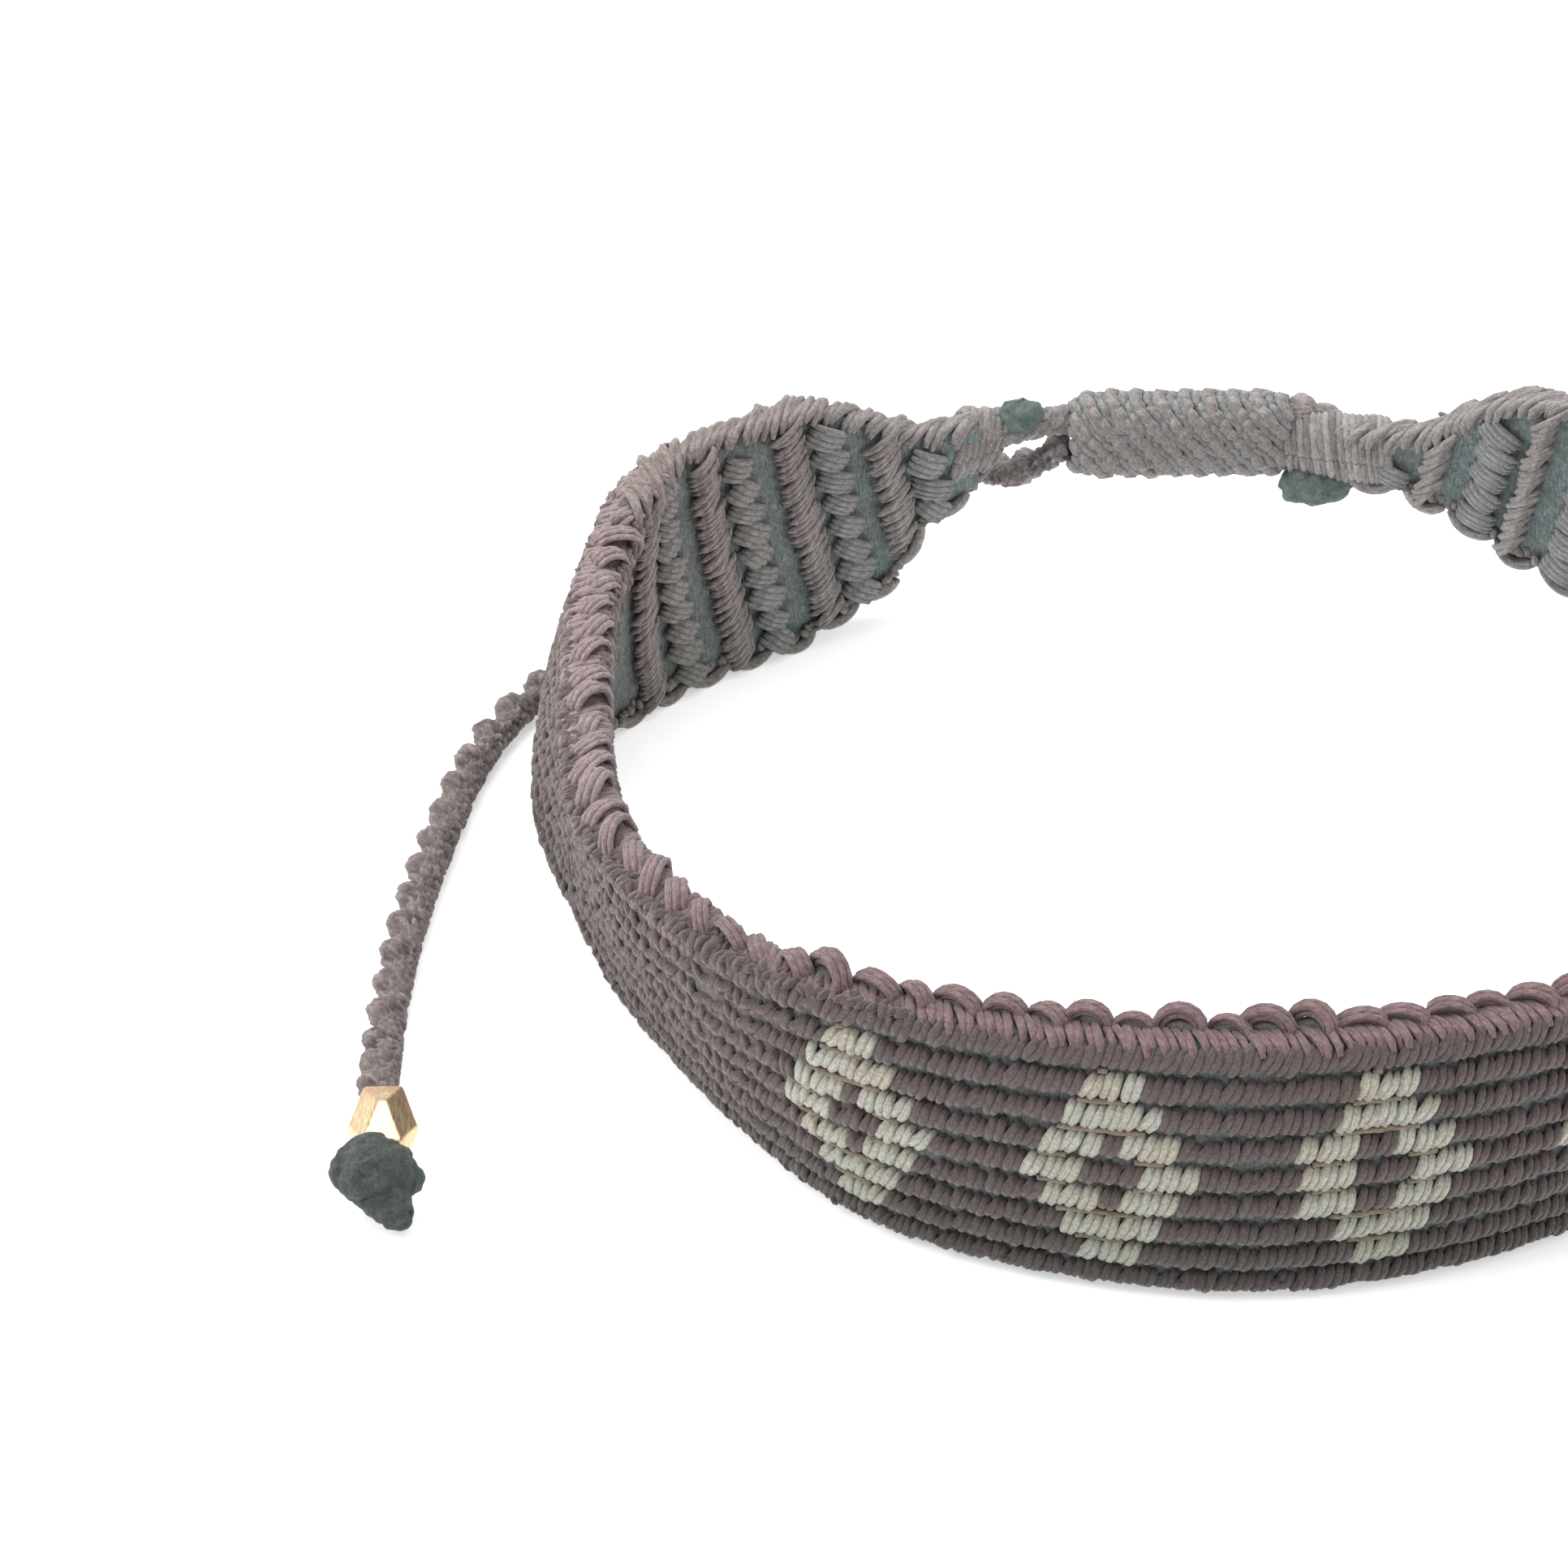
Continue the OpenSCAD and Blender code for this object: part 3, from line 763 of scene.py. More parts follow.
loop_bundle = Strands()
for length, height, shift in ((2.1, 0.92, -0.3), (2.2, 1.0, -0.04), (2.1, 0.92, 0.24), (1.6, 0.66, -0.16)):
    xs, zs = arch(length, height, 0.55)
    loop_bundle.lay([(x, shift, z) for x, z in zip(xs, zs)], [0.1] + [0.17] * 7 + [0.1], 6, 0.95)
loop_form = loop_bundle.piece("loop")
xs, zs = arch(2.2, 0.5, 0.1, 6)
turn_form = stitch_form("turn", xs, zs, [0.12, 0.2, 0.22, 0.22, 0.22, 0.2, 0.12], 6, 0.9)
FORMS += [loop_form, turn_form]
print("a rim loop has", len(loop_form.data.polygons), "faces")

# %% Places on the edges
MID_DEPTH = BAND_T / 2


def edge_point(s, z, away, slant, depth=MID_DEPTH):
    """Place, direction and outward for a turn: slant goes from straight across to along the edge."""
    p, right, up, out = on_face(s, z, depth, OUTER)
    return p, turned(out, right, slant), up * away


def rim_height(s):
    """Height of the upper edge, over the band and the first stretch of each taper."""
    if abs(s) < BAND_HALF_LEN:
        return RIB_TOP
    return min(RIB_TOP, edges(1 if s > 0 else -1, from_tip(s))[1])


print("rim height at the front and past the band:", RIB_TOP, round(float(rim_height(BAND_HALF_LEN + 4)), 2))

# %% [markdown]
# At the front the loops are even and stand towards the inside. Round the sides they get smaller and
# less alike. A bean behind each loop closes the hole that the arch leaves: at the front a dark one,
# painted shade under the arch, and at the sides a mauve one.

# %% Rim loops
LOOP_PITCH = 1.9
PAST_BAND = 4.5
FRONT_FADES = 25
FRONT_ENDS = 30
front_loops, side_loops, shade_beans, grains = [], [], [], []
count = int(2 * (BAND_HALF_LEN + PAST_BAND) / LOOP_PITCH)
for i in range(count):
    s = (i + 0.5 - count / 2) * LOOP_PITCH + give(0.22)
    front = math.exp(-(s / FRONT_FADES) ** 2)
    slant = math.radians(die.uniform(42, 56) + 24 * front)
    z = rim_height(s) - 0.2 + give(0.1)
    p, along, up = edge_point(s, z, 1, slant, MID_DEPTH + 0.12 + 0.3 * front)
    length = die.uniform(0.84 - 0.1 * (1 - front), 1.1)
    width = die.uniform(0.85, 1.1)
    height = length * die.uniform(0.8, 1.25) * (0.78 + 0.22 * front)
    # Behind a front loop the bean is dark hollow thread, painted shade; at the sides it is a mauve grain.
    loops, behind = (front_loops, shade_beans) if abs(s) < FRONT_ENDS else (side_loops, grains)
    loops.append((p, along, up, (length, width, height)))
    behind.append((p + up * 0.15, along, up, (1.7, 1.3, 1.7)))
print(len(front_loops), "loops at the front and", len(side_loops), "at the sides")

# %% Turns over both edges
TURN_PITCH = 0.42
TURNS_PAST_BAND = 2.8
LOWER_TURN_Z = 1.05
PLAIN_SIZE = (1.0, 1.0, 1.0)
lower_turns, upper_turns = [], []
for i in range(int((2 * BAND_HALF_LEN + 6) / TURN_PITCH)):
    s = -BAND_HALF_LEN - TURNS_PAST_BAND + i * TURN_PITCH
    if abs(s) < BAND_HALF_LEN:
        lower_turns.append((*edge_point(s, LOWER_TURN_Z, -1, math.radians(30)), PLAIN_SIZE))
    upper_turns.append((*edge_point(s, rim_height(s) - 0.5, 1, math.radians(24)), PLAIN_SIZE))
    for depth in (0.35, 0.8, 1.25):
        beside, slant = give(0.2), give(1.2)
        p, along, up = edge_point(s + beside, rim_height(s) - 0.08, 1, slant, depth)
        if abs(s) > LOOSE_FROM:
            grains.append((p, along, up, (0.85, 0.95, 1.0)))
print(len(lower_turns), "turns below,", len(upper_turns), "above and", len(grains), "grains")

# %% Lay the rim
LOOP_JITTER, TURN_JITTER = (0.12, 0.3, 0.2), (0.12, 0.16, 0.08)
for name, rows, form, thread, seed, jitters, slot, node in (
        ("rim_loops_front", front_loops, loop_form, rim_mauve, 21, LOOP_JITTER, "mauve_thread", "edge_loops"),
        ("rim_loops_side", side_loops, loop_form, rim_mauve, 25, LOOP_JITTER, "mauve_thread", "edge_loops"),
        # Dark beans behind the front loops: painted shade.
        ("loop_hollows", shade_beans, bean, hollow, 26, (0.1, 0.1, 0.0), "melted_thread", "edge_loops"),
        ("rim_grains", grains, bean, mauve, 23, (0.2, 0.3, 0.2), "mauve_thread", "band"),
        ("lower_edge_turns", lower_turns, turn_form, mauve, 22, TURN_JITTER, "mauve_thread", "band"),
        ("upper_edge_turns", upper_turns, turn_form, rim_mauve, 24, TURN_JITTER, "mauve_thread", "band")):
    lay_stitches(name, rows, form, thread, seed, jitters, node)

# %% [markdown]
# ## The tapers
# Behind the wrist the cords change direction: ribs run across the band. Narrow ropes of short
# strands slant one way. Beside each stands a broad column of clusters, each four strands that slant
# the other way, and then comes a deep dark gap. The ribs lean a little, and less near both ends.

# %% Forms and places for the tapers
CROSS_LEAN = 0.26
MID_H = BAND_H / 2
FOOT = 0.4
strip = stitch_form("strip", [-0.9, -0.7, -0.25, 0.25, 0.7, 0.9], [-0.26, -0.08, 0.03, 0.03, -0.06, -0.22],
                    [0.09, 0.15, 0.17, 0.17, 0.15, 0.1])
cluster = stitch_form("cluster", [-0.9, -0.7, -0.25, 0.25, 0.7, 0.9], [-0.24, -0.05, 0.06, 0.06, -0.03, -0.2],
                      [0.11, 0.17, 0.2, 0.2, 0.17, 0.11], 6, 0.95, (-0.42, -0.14, 0.14, 0.42))
FORMS += [strip, cluster]


def taper_len(side):
    return HALF_LEN - BAND_HALF_LEN - TIP[side]


def rib_place(k):
    """Distance of a rib from the narrow end; the ribs stand a little further apart towards the band."""
    return 4 * k * (1 + 0.05 * k)


def taper_rib(side, at, pitch, angle, depth, size, margin, faces=(OUTER, INNER)):
    """Stitches up one rib: at is the distance of its middle from the narrow end, the angle in degrees."""
    rows = []
    lean = CROSS_LEAN * min(1, max(0.1, at / 4), max(0.15, (taper_len(side) - at) / 4))
    low, top = (edges(side, at + lean * (edges(side, at)[k] - MID_H))[k] for k in (0, 1))
    z = max(FOOT, low) + margin
    while z < top - margin:
        s = side * (HALF_LEN - TIP[side] - at - lean * (z - MID_H))
        for face in faces:
            p, right, up, out = on_face(s, z, depth + give(0.06), face)
            rows.append((p, turned(right, up, math.radians(angle + give(7))), out, size))
        z += pitch * die.uniform(0.9, 1.1)
    return rows


print("ribs stand at", [round(rib_place(k), 1) for k in range(5)], "mm from the narrow end")

# %% Ropes and columns
ROPE = {"pitch": 0.3, "angle": 42, "depth": 0.12, "size": (0.98, 1.0, 1.1), "margin": 0.5}
COLUMN = {"pitch": 1.22, "angle": -30, "depth": 0.2, "size": (1.02, 1.0, 1.0), "margin": 0.75}
COLUMN_AFTER = 0.58
for word, side in SIDES.items():
    ropes, columns = [], []
    for k in range(7):
        if 0.3 < rib_place(k) < taper_len(side) + 1:
            ropes += taper_rib(side, rib_place(k), **ROPE)
        if rib_place(k + 0.6) < taper_len(side) + 0.6:
            columns += taper_rib(side, rib_place(k + COLUMN_AFTER), **COLUMN)
    columns += taper_rib(side, taper_len(side) - 0.75, faces=(OUTER,), **COLUMN)
    # The columns take the darker shaded thread: painted shade.
    for name, rows, form, thread, seed, jitters in (
            ("taper_ropes_", ropes, strip, dusty, 31, (0.16, 0.18, 0.14)),
            ("taper_columns_", columns, cluster, shaded, 35, (0.12, 0.2, 0.12))):
        lay_stitches(name + word, rows, form, thread, seed + side, jitters, "taper_" + word)

# %% [markdown]
# The tapers' edges are finished by the same threads. Turns lie side by side over the upper edge in
# small uneven swells, and along the lower edge a bundle of strands swings from each rope to the next
# column, so the edge steps down in round lobes. Both follow the edge itself, by its own length.

# %% Places along a taper's edge
def edge_places(side, upper, step):
    """Rows of point, direction along the edge, away from the cloth, across it, and distance."""
    ats = np.linspace(0.05, taper_len(side), 160)
    heights = [max(FOOT, edges(side, at)[1 if upper else 0]) for at in ats]
    line = Line([wall(side * (HALF_LEN - TIP[side] - at), z, MID_DEPTH) for at, z in zip(ats, heights)])
    places = []
    for d in np.arange(0.1, line.length, step):
        t = unit(line.spot(d + 0.15) - line.spot(d - 0.15))
        at = np.interp(d, line.run, ats)
        across = on_face(side * (HALF_LEN - TIP[side] - at), MID_H, 0, OUTER)[3]
        away = unit(np.cross(t, across))
        if (away[2] > 0) != upper:
            away = -away
        places.append((line.spot(d), t, away, across, d))
    return places


print("the left taper's upper edge is", round(float(edge_places(1, True, 0.36)[-1][4]), 1), "mm long")

# %% Turns round the tapers' edges
SWELL, SWELL_LEN = 0.2, 1.6
EDGE_INSET = 0.5
for word, side in SIDES.items():
    rows = []
    for upper, lean in ((True, math.radians(52)), (False, math.radians(55))):
        for p, t, away, across, d in edge_places(side, upper, 0.36):
            swell = SWELL * abs(math.sin(d * math.pi / SWELL_LEN)) if upper else 0
            p = p + away * (swell - EDGE_INSET) + (0, 0, 0 if upper else 0.2)
            along = unit(turned(across, -side * t, lean))
            rows.append((p, along, away, (1.15, 0.95, 1.0)))
    lay_stitches("taper_turns_" + word, rows, turn_form, dusty, 41 + side, (0.12, 0.2, 0.1),
                 "taper_" + word)
    lobes = Strands()
    places = edge_places(side, False, 0.25)
    lobe = 9
    radii = [0.12, 0.22] + [0.26] * (lobe - 3) + [0.22, 0.12]
    for first in range(1, len(places) - lobe, lobe + 1):
        for shift in (-0.75, -0.25, 0.25, 0.75):
            path = []
            for k, (p, t, away, across, _) in enumerate(places[first:first + lobe + 1]):
                path.append(p + away * (0.5 * math.sin(math.pi * k / lobe) - 0.36) + across * shift)
            lobes.lay(path, radii, tone=die.random())
    seat(lobes.piece("taper_lobes_" + word, dusty), "taper_" + word)

# %% [markdown]
# ## Cords
# Each taper ends in a cord that runs through the sleeve and comes out as a loose tail. The cords
# follow the route of the CAD source: a line of points, rounded by a smooth curve.

# %% Sizes and routes of the cords
CORD_D, GAP = 1.5, 0.06
SLEEVE_HALF = 4.9
CLOSURE_Y = HALF - BAND_T / 2
CLOSURE_Z = BAND_H * 0.68
CHANNEL = (CORD_D + GAP) / 2
UPPER_Z, LOWER_Z = CLOSURE_Z + CHANNEL, CLOSURE_Z - CHANNEL
BEAD_X, BEAD_Y, BEAD_LEN, BEAD_W = -1.268 * HALF, -0.557 * HALF, 4.0, 3.3
BEAD_Z = BEAD_W / 2 + GAP
LIE = CORD_D / 2 + GAP
ROUTE_STEP = 0.5
LEAVE = [(0.3, (0.0, 0.0), (0.0, 0.0)), (0.8, (0.1, 0.3), (0.4, 0.1)),
         (1.6, (0.2, 0.9), (1.3, 0.8)), (2.7, (0.6, 1.7), (2.2, 2.0))]
TAIL = [(0.33, 1.030, 0.68, 0.74), (0.41, 1.030, 0.62, 0.66), (0.50, 1.010, 0.53, 0.55),
        (0.585, 0.973, 0.42, 0.42), (0.67, 0.928, 0.27, 0.26), (0.75, 0.882, 0.11, 0.10),
        (0.825, 0.825, 0.01, 0.01), (0.91, 0.76, 0, 0), (0.99, 0.685, 0, 0), (1.065, 0.59, 0, 0),
        (1.118, 0.48, 0, 0), (1.155, 0.36, 0, 0), (1.182, 0.237, 0, 0), (1.207, 0.114, 0, 0),
        (1.228, -0.007, 0, 0), (1.245, -0.13, 0, 0), (1.257, -0.25, 0, 0), (1.264, -0.37, 0.01, 0.01)]


def tail_route(side):
    """The left cord leaves the lower channel, the right one the upper; the table has a column for each."""
    start, column = (LOWER_Z, 1) if side > 0 else (UPPER_Z, 2)
    route = [(-SLEEVE_HALF - GAP, CLOSURE_Y, start)]
    route += [(-SLEEVE_HALF - r[0], CLOSURE_Y + r[column][0], start - r[column][1]) for r in LEAVE]
    route += [(-r[0] * HALF, r[1] * HALF, LIE + (start - LIE) * r[column + 1]) for r in TAIL]
    route += [(BEAD_X, BEAD_Y + 2, BEAD_Z - 0.3), (BEAD_X, BEAD_Y + 0.4, BEAD_Z)]
    route += [(BEAD_X, BEAD_Y + GAP, BEAD_Z), (BEAD_X, BEAD_Y - BEAD_LEN - GAP, BEAD_Z)]
    return [np.array((x * side, y, z)) for x, y, z in route]


def slide_route(side):
    """From inside the taper's tip into the sleeve and through it."""
    share_up, share_low = TAPER[side][0][1:]
    middle = BAND_H * (share_up + share_low) / 2
    z_tip, z_in = (middle + 0.9, UPPER_Z) if side > 0 else (middle - 0.4, LOWER_Z)
    a = wall(HALF_LEN - TIP[side] + 0.25, z_tip, MID_DEPTH)
    b = np.array([-SLEEVE_HALF - 0.5, CLOSURE_Y, z_in])
    route = [a, a * 0.65 + b * 0.35 + (0, 0.05, 0), a * 0.3 + b * 0.7 + (0, 0.05, 0.1 * (z_in - z_tip)), b]
    route += [np.array([x, CLOSURE_Y, z_in]) for x in (-SLEEVE_HALF, 0, SLEEVE_HALF)]
    return [p * (side, 1, 1) for p in route]


def smooth(route):
    """Points at even steps on a soft curve through the route, and its length."""
    route = [2 * route[0] - route[1]] + list(route) + [2 * route[-1] - route[-2]]
    dense = []
    for a, b, c, d in zip(route, route[1:], route[2:], route[3:]):
        dense += [soft(a, b, c, d, f) for f in np.linspace(0, 1, 12, endpoint=False)]
    line = Line(dense + [route[-2]])
    return line.spot(np.linspace(0, line.length, int(line.length / ROUTE_STEP) + 1)), line.length


tails = {side: smooth(tail_route(side)) for side in SIDES.values()}
print("tails are", [round(length, 1) for _, length in tails.values()], "mm long")

# %% [markdown]
# A tail is a chain of hitches round a core. Each hitch leaves a round lobe on the tail's outer side
# and knots as small as grains all over. Stitches laid one by one would be too many for so little a
# form, so the tail is one skin: a radius function gives cord and lobes, and cells give the grains.

# %% Shape of a tail
LOBE_STEP, LOBE_START = 2.24, 0.15
LOBE_R, LOBE_OUT = 0.8, 0.38
TAIL_R = 0.53
PLAIN_R = TAIL_R + 0.1


def lobe_share(back):
    """Place in a lobe, from -0.5 to 0.5, at a distance back from the bead."""
    return (back / LOBE_STEP + LOBE_START) % 1 - 0.5


def lobed(back, angle):
    """Radius of a tail at an angle from its outer side towards its top: round lobes on a thin cord."""
    x = lobe_share(back) * LOBE_STEP
    rest = LOBE_R ** 2 - x ** 2 - (LOBE_OUT * math.sin(angle)) ** 2
    lobe = LOBE_OUT * math.cos(angle) + math.sqrt(rest) if rest > 0 else 0
    return max(TAIL_R, lobe * (1 if math.sin(angle) > 0 else 0.9))


def crease_shade(back):
    """Painted shade: 1 in the middle of a lobe, less where two lobes meet."""
    return 1 - 0.55 * abs(2 * lobe_share(back)) ** 5


def plain_round(back, angle):
    return PLAIN_R


def plain_shade(back):
    return 1


print("a lobe stands out to", round(LOBE_R + LOBE_OUT, 2), "mm and the cord between to", TAIL_R, "mm")

# %% [markdown]
# The grains come from a cell pattern: each cell is one small knot, high in its middle, low along its
# border, with a tone of its own, darkened at the border as painted shade. The cells lean round the
# cord, as the hitches do.

# %% Skin of a cord
GRAIN, GRAIN_RELIEF = 0.34, 0.2
SKIN_STEP, SKIN_SIDES = 0.11, 30
IN_BEAD_R = 0.5


def grain(back, angle):
    """Height from 0 to 1 and tone of a small knot at a place on a cord."""
    a = angle + 0.9 * back
    place = Vector((math.cos(a) * 0.65, math.sin(a) * 0.65, back * 0.7)) / GRAIN
    far, knots = noise.voronoi(place)
    height = 1 - (1 - min(1, (far[1] - far[0]) / 0.5)) ** 2
    return height, (knots[0].x * 7.1 + knots[0].y * 3.7 + knots[0].z * 5.3) % 1


class CordSkin(Line):
    """The surface of a cord: a route, and functions for its radius and for the painted shade of its creases.
    """

    def __init__(self, route, form, shade, sign):
        super().__init__(route)
        self.form, self.shade, self.sign = form, shade, sign

    def frame(self, back):
        """Middle, outer side and top, at a distance back from the end."""
        d = self.length - back
        t = unit(self.spot(min(d + 0.3, self.length)) - self.spot(max(d - 0.3, 0)))
        outer = unit(np.cross(t, (0, 0, 1))) * self.sign
        return self.spot(d), outer, np.cross(outer, t) * self.sign

    def skin(self, name, thin_end, material):
        """A closed grainy tube; a thin end, if there is one, goes on straight, through the bead."""
        tube = Strands()
        turns = [2 * math.pi * k / SKIN_SIDES for k in range(SKIN_SIDES)]
        backs = list(np.arange(self.length - 0.05, 0.05, -SKIN_STEP))
        for back in backs:
            p, outer, top = self.frame(back)
            for a in turns:
                height, tone = grain(back, a)
                signed = (a + math.pi) % (2 * math.pi) - math.pi
                r = self.form(back, signed) + GRAIN_RELIEF * (height - 0.5)
                tube.points.append(p + r * turned(outer, top, a))
                # Painted shade: the tone darkens along each grain's border and where two lobes meet.
                tube.tones.append((0.35 + 0.65 * tone) * height * self.shade(back))
        rings = len(backs)
        if thin_end is not None:
            p, outer, top = self.frame(0.05)
            for end in (p, self.points[-1] + thin_end):
                tube.points += [end + IN_BEAD_R * turned(outer, top, a) for a in turns]
            tube.tones += [0.4] * (2 * SKIN_SIDES)
            rings += 2
        tube.join(0, rings, SKIN_SIDES)
        tube.unroll([i * SKIN_STEP for i in range(rings)], SKIN_SIDES, 2)
        return tube.piece(name, material, outward=True)


tail_pieces = {}
for word, side in SIDES.items():
    route, length = tails[side]
    in_bead = np.linalg.norm(route - route[-1], axis=1) < BEAD_LEN + 2 * GAP + 0.1
    shown = route[~in_bead]
    skin = CordSkin(shown, lobed, crease_shade, side)
    tail_pieces[side] = skin.skin("tail_cord_" + word, route[-1] - shown[-1], tail_thread)
print("a tail has", len(tail_pieces[1].data.polygons), "faces")

# %% [markdown]
# ## Beads and end knots
# The bead is brass with a brushed face: its brush lines run along the bead, so one noise is drawn
# out along Y, and it drives colour, roughness and relief together. A broader noise adds a warm cloud.

# %% Brass
BRUSH = (9000, 1400, 9000)
CLOUD = 900


def brass_material():
    material, tree, shader = new_material("brushed_brass")
    place = node_of(tree, "ShaderNodeTexCoord").outputs["Object"]
    brushed = noise_of(tree, stretched(tree, place, BRUSH), 1, 4)
    lines, cloud = ramp(tree, brushed, 0.3, 0.7), ramp(tree, noise_of(tree, place, CLOUD, 2), 0.45, 0.75)
    colour = mix_colour(tree, lines, rgb(206, 176, 134), rgb(248, 230, 184))
    colour = mix_colour(tree, cloud, colour, rgb(214, 170, 140))
    rough = ramp(tree, brushed, 0, 1, 0.28, 0.5)
    feed(tree, shader, {"Base Color": colour, "Metallic": 1.0, "Roughness": rough})
    bumpy(tree, shader, [(brushed, 0.00003)], 0.4)
    return material


brass = brass_material()
print("finish:", brass.name)

# %% [markdown]
# The shape is a block with all its corners cut off. It could be cut from a cube, but its corners are
# quickly listed: a square turned by 45 degrees at each end, and a blunt edge at the middle of each
# side. A convex hull joins them, a boolean drills the hole, and a bevel breaks the edges.

# %% Beads
BLUNT = 0.17
HOLE_R = 0.6
BROKEN_EDGE = 0.1


def bead(name, middle):
    r, h = BEAD_W / 2, BEAD_LEN / 2
    corner = r / math.sqrt(2)
    angles = [math.radians(45 + 90 * k) for k in range(4)]
    points = [(corner * math.cos(a), y, corner * math.sin(a)) for y in (h, -h) for a in angles]
    for k in range(4):
        quarter = Matrix.Rotation(math.radians(90 * k), 3, "Y")
        points += [tuple(quarter @ Vector((r - BLUNT, 0, e))) for e in (-BLUNT, BLUNT)]
    work = bmesh.new()
    for p in points:
        work.verts.new((np.array(p) + middle) * MM)
    bmesh.ops.convex_hull(work, input=work.verts)
    bmesh.ops.dissolve_limit(work, angle_limit=0.01, verts=work.verts, edges=work.edges)
    body = new_object(name, filled(bpy.data.meshes.new(name), work), brass)
    drill = drill_at(middle)
    cut = body.modifiers.new("hole", "BOOLEAN")
    cut.object, cut.operation, cut.solver = drill, "DIFFERENCE", "EXACT"
    bevel = body.modifiers.new("edges", "BEVEL")
    bevel.width, bevel.segments, bevel.limit_method = BROKEN_EDGE * MM, 3, "ANGLE"
    body.data = applied(body)
    body.modifiers.clear()
    body.data.materials.clear()
    body.data.materials.append(brass)
    bpy.data.objects.remove(drill)
    return body


def drill_at(middle):
    """A round rod along Y, longer than the bead."""
    lies = Matrix.Translation(Vector(middle * MM)) @ Matrix.Rotation(math.pi / 2, 4, "X")
    work = bmesh.new()
    bmesh.ops.create_cone(work, cap_ends=True, segments=32, radius1=HOLE_R * MM, radius2=HOLE_R * MM,
                          depth=1.5 * BEAD_LEN * MM, matrix=lies)
    return new_object("drill", filled(bpy.data.meshes.new("drill"), work))


beads = {}
for word, side in SIDES.items():
    beads[side] = bead("cut_bead_" + word, np.array([side * BEAD_X, BEAD_Y - BEAD_LEN / 2, BEAD_Z]))
    seat(beads[side], "bead_" + word)

# %% [markdown]
# The knot under the bead is an overhand knot pulled tight, its end melted so that the plies run
# together. Strands crossing at several tilts are made thick until they fill the knot, then fused
# with a voxel remesh and softened, and noise leaves shallow lumps. The ends of the sleeve's working
# thread are melted in the same way.

# %% Melted thread
MELTED = {"sheen": 0.15, "rough": 0.62, "twist": 1.2, "patches": 2400, "relief": 2.5}
melted_rear = thread_material("melted_end", (86, 98, 94), (114, 126, 121), (122, 124, 118), **MELTED)
melted = thread_material("melted_thread", (74, 86, 83), (104, 116, 112), (116, 118, 112), **MELTED)
VOXEL = 0.1
ABOVE_TABLE = 0.05
LUMPS, FINE_LUMPS, SPECKS = 800, 2400, 1500


def fused(name, strands, lump, seed, finish):
    """Fuses strands into one skin and makes it uneven."""
    body = strands.piece(name, finish)
    remesh = body.modifiers.new("fuse", "REMESH")
    remesh.mode, remesh.voxel_size = "VOXEL", VOXEL * MM
    calm = body.modifiers.new("calm", "SMOOTH")
    calm.iterations, calm.factor = 2, 0.5
    made = applied(body)
    body.modifiers.clear()
    for v in made.vertices:
        coarse = noise.noise(v.co * LUMPS + Vector((seed, 0, 0)))
        fine = noise.noise(v.co * FINE_LUMPS + Vector((0, seed, 0)))
        v.co += v.normal * (coarse + 0.7 * fine) * lump * MM
        v.co.z = max(v.co.z, ABOVE_TABLE * MM)
    made.uv_layers.new(name="Strand")
    tones = made.attributes.get("tone") or made.attributes.new("tone", "FLOAT", "POINT")
    tones.data.foreach_set("value", [0.5 + 0.5 * noise.noise(v.co * SPECKS) for v in made.vertices])
    made.polygons.foreach_set("use_smooth", [True] * len(made.polygons))
    made.materials.clear()
    made.materials.append(finish)
    body.data = made
    return body


print("finishes:", melted.name, melted_rear.name)

# %% End knots
BALL = (-35.85, -21.25, 2.1)
BALL_PROFILE = [(1.4, 0.5), (1.2, 0.9), (0.7, 1.3), (0, 1.45), (-0.7, 1.3), (-1.2, 0.9), (-1.4, 0.5)]
CROSSINGS = [(0.5, 0.2), (-0.6, 1.1), (0.9, -0.5), (-0.95, 0.6)]
CROSS_LONG, CROSS_WIDE, CROSS_R = 1.38, 1.28, 0.4
# Each row of a short end is a place and a radius.
KNOT_ENDS = [
    [((-35.2, -21.3, 1.9), 0.9), ((-34.4, -21.2, 1.75), 0.8),
     ((-33.95, -21.35, 1.6), 0.6), ((-33.75, -21.4, 1.55), 0.3)],
    [((-35.6, -21.8, 1.5), 1.1), ((-34.95, -22.6, 1.05), 0.88),
     ((-34.7, -23.1, 0.95), 0.7), ((-34.6, -23.35, 0.9), 0.4)],
    [((BEAD_X, -19.7, BEAD_Z + 0.1), 0.7), ((-35.6, -20.4, 1.9), 1.0)]]


def crossing(ball, side, tilt, turn):
    """One turn of thread round the ball."""
    spin = Matrix.Rotation(turn, 3, "Z") @ Matrix.Rotation(tilt, 3, "X")
    ring = []
    for a in np.linspace(0, 2 * math.pi, 25):
        flat = Vector((math.cos(a) * CROSS_LONG, math.sin(a) * CROSS_WIDE, 0))
        ring.append(ball + np.array(spin @ flat) * (side, 1, 1))
    return ring


def end_knot(side):
    mirror = np.array([side, 1, 1])
    ball = np.array(BALL) * mirror
    knot = Strands()
    knot.lay([ball + (0, d, 0) for d, _ in BALL_PROFILE], [r for _, r in BALL_PROFILE], 16)
    for tilt, turn in CROSSINGS:
        ring = crossing(ball, side, tilt, turn)
        knot.lay(ring, [CROSS_R] * len(ring), 8)
    for end in KNOT_ENDS:
        knot.lay([np.array(p) * mirror for p, _ in end], [r for _, r in end], 12)
    return knot


end_knots = {}
for word, side in SIDES.items():
    end_knots[side] = fused("end_knot_piece_" + word, end_knot(side), 0.2, side * 3, melted)
    seat(end_knots[side], "end_knot_" + word)

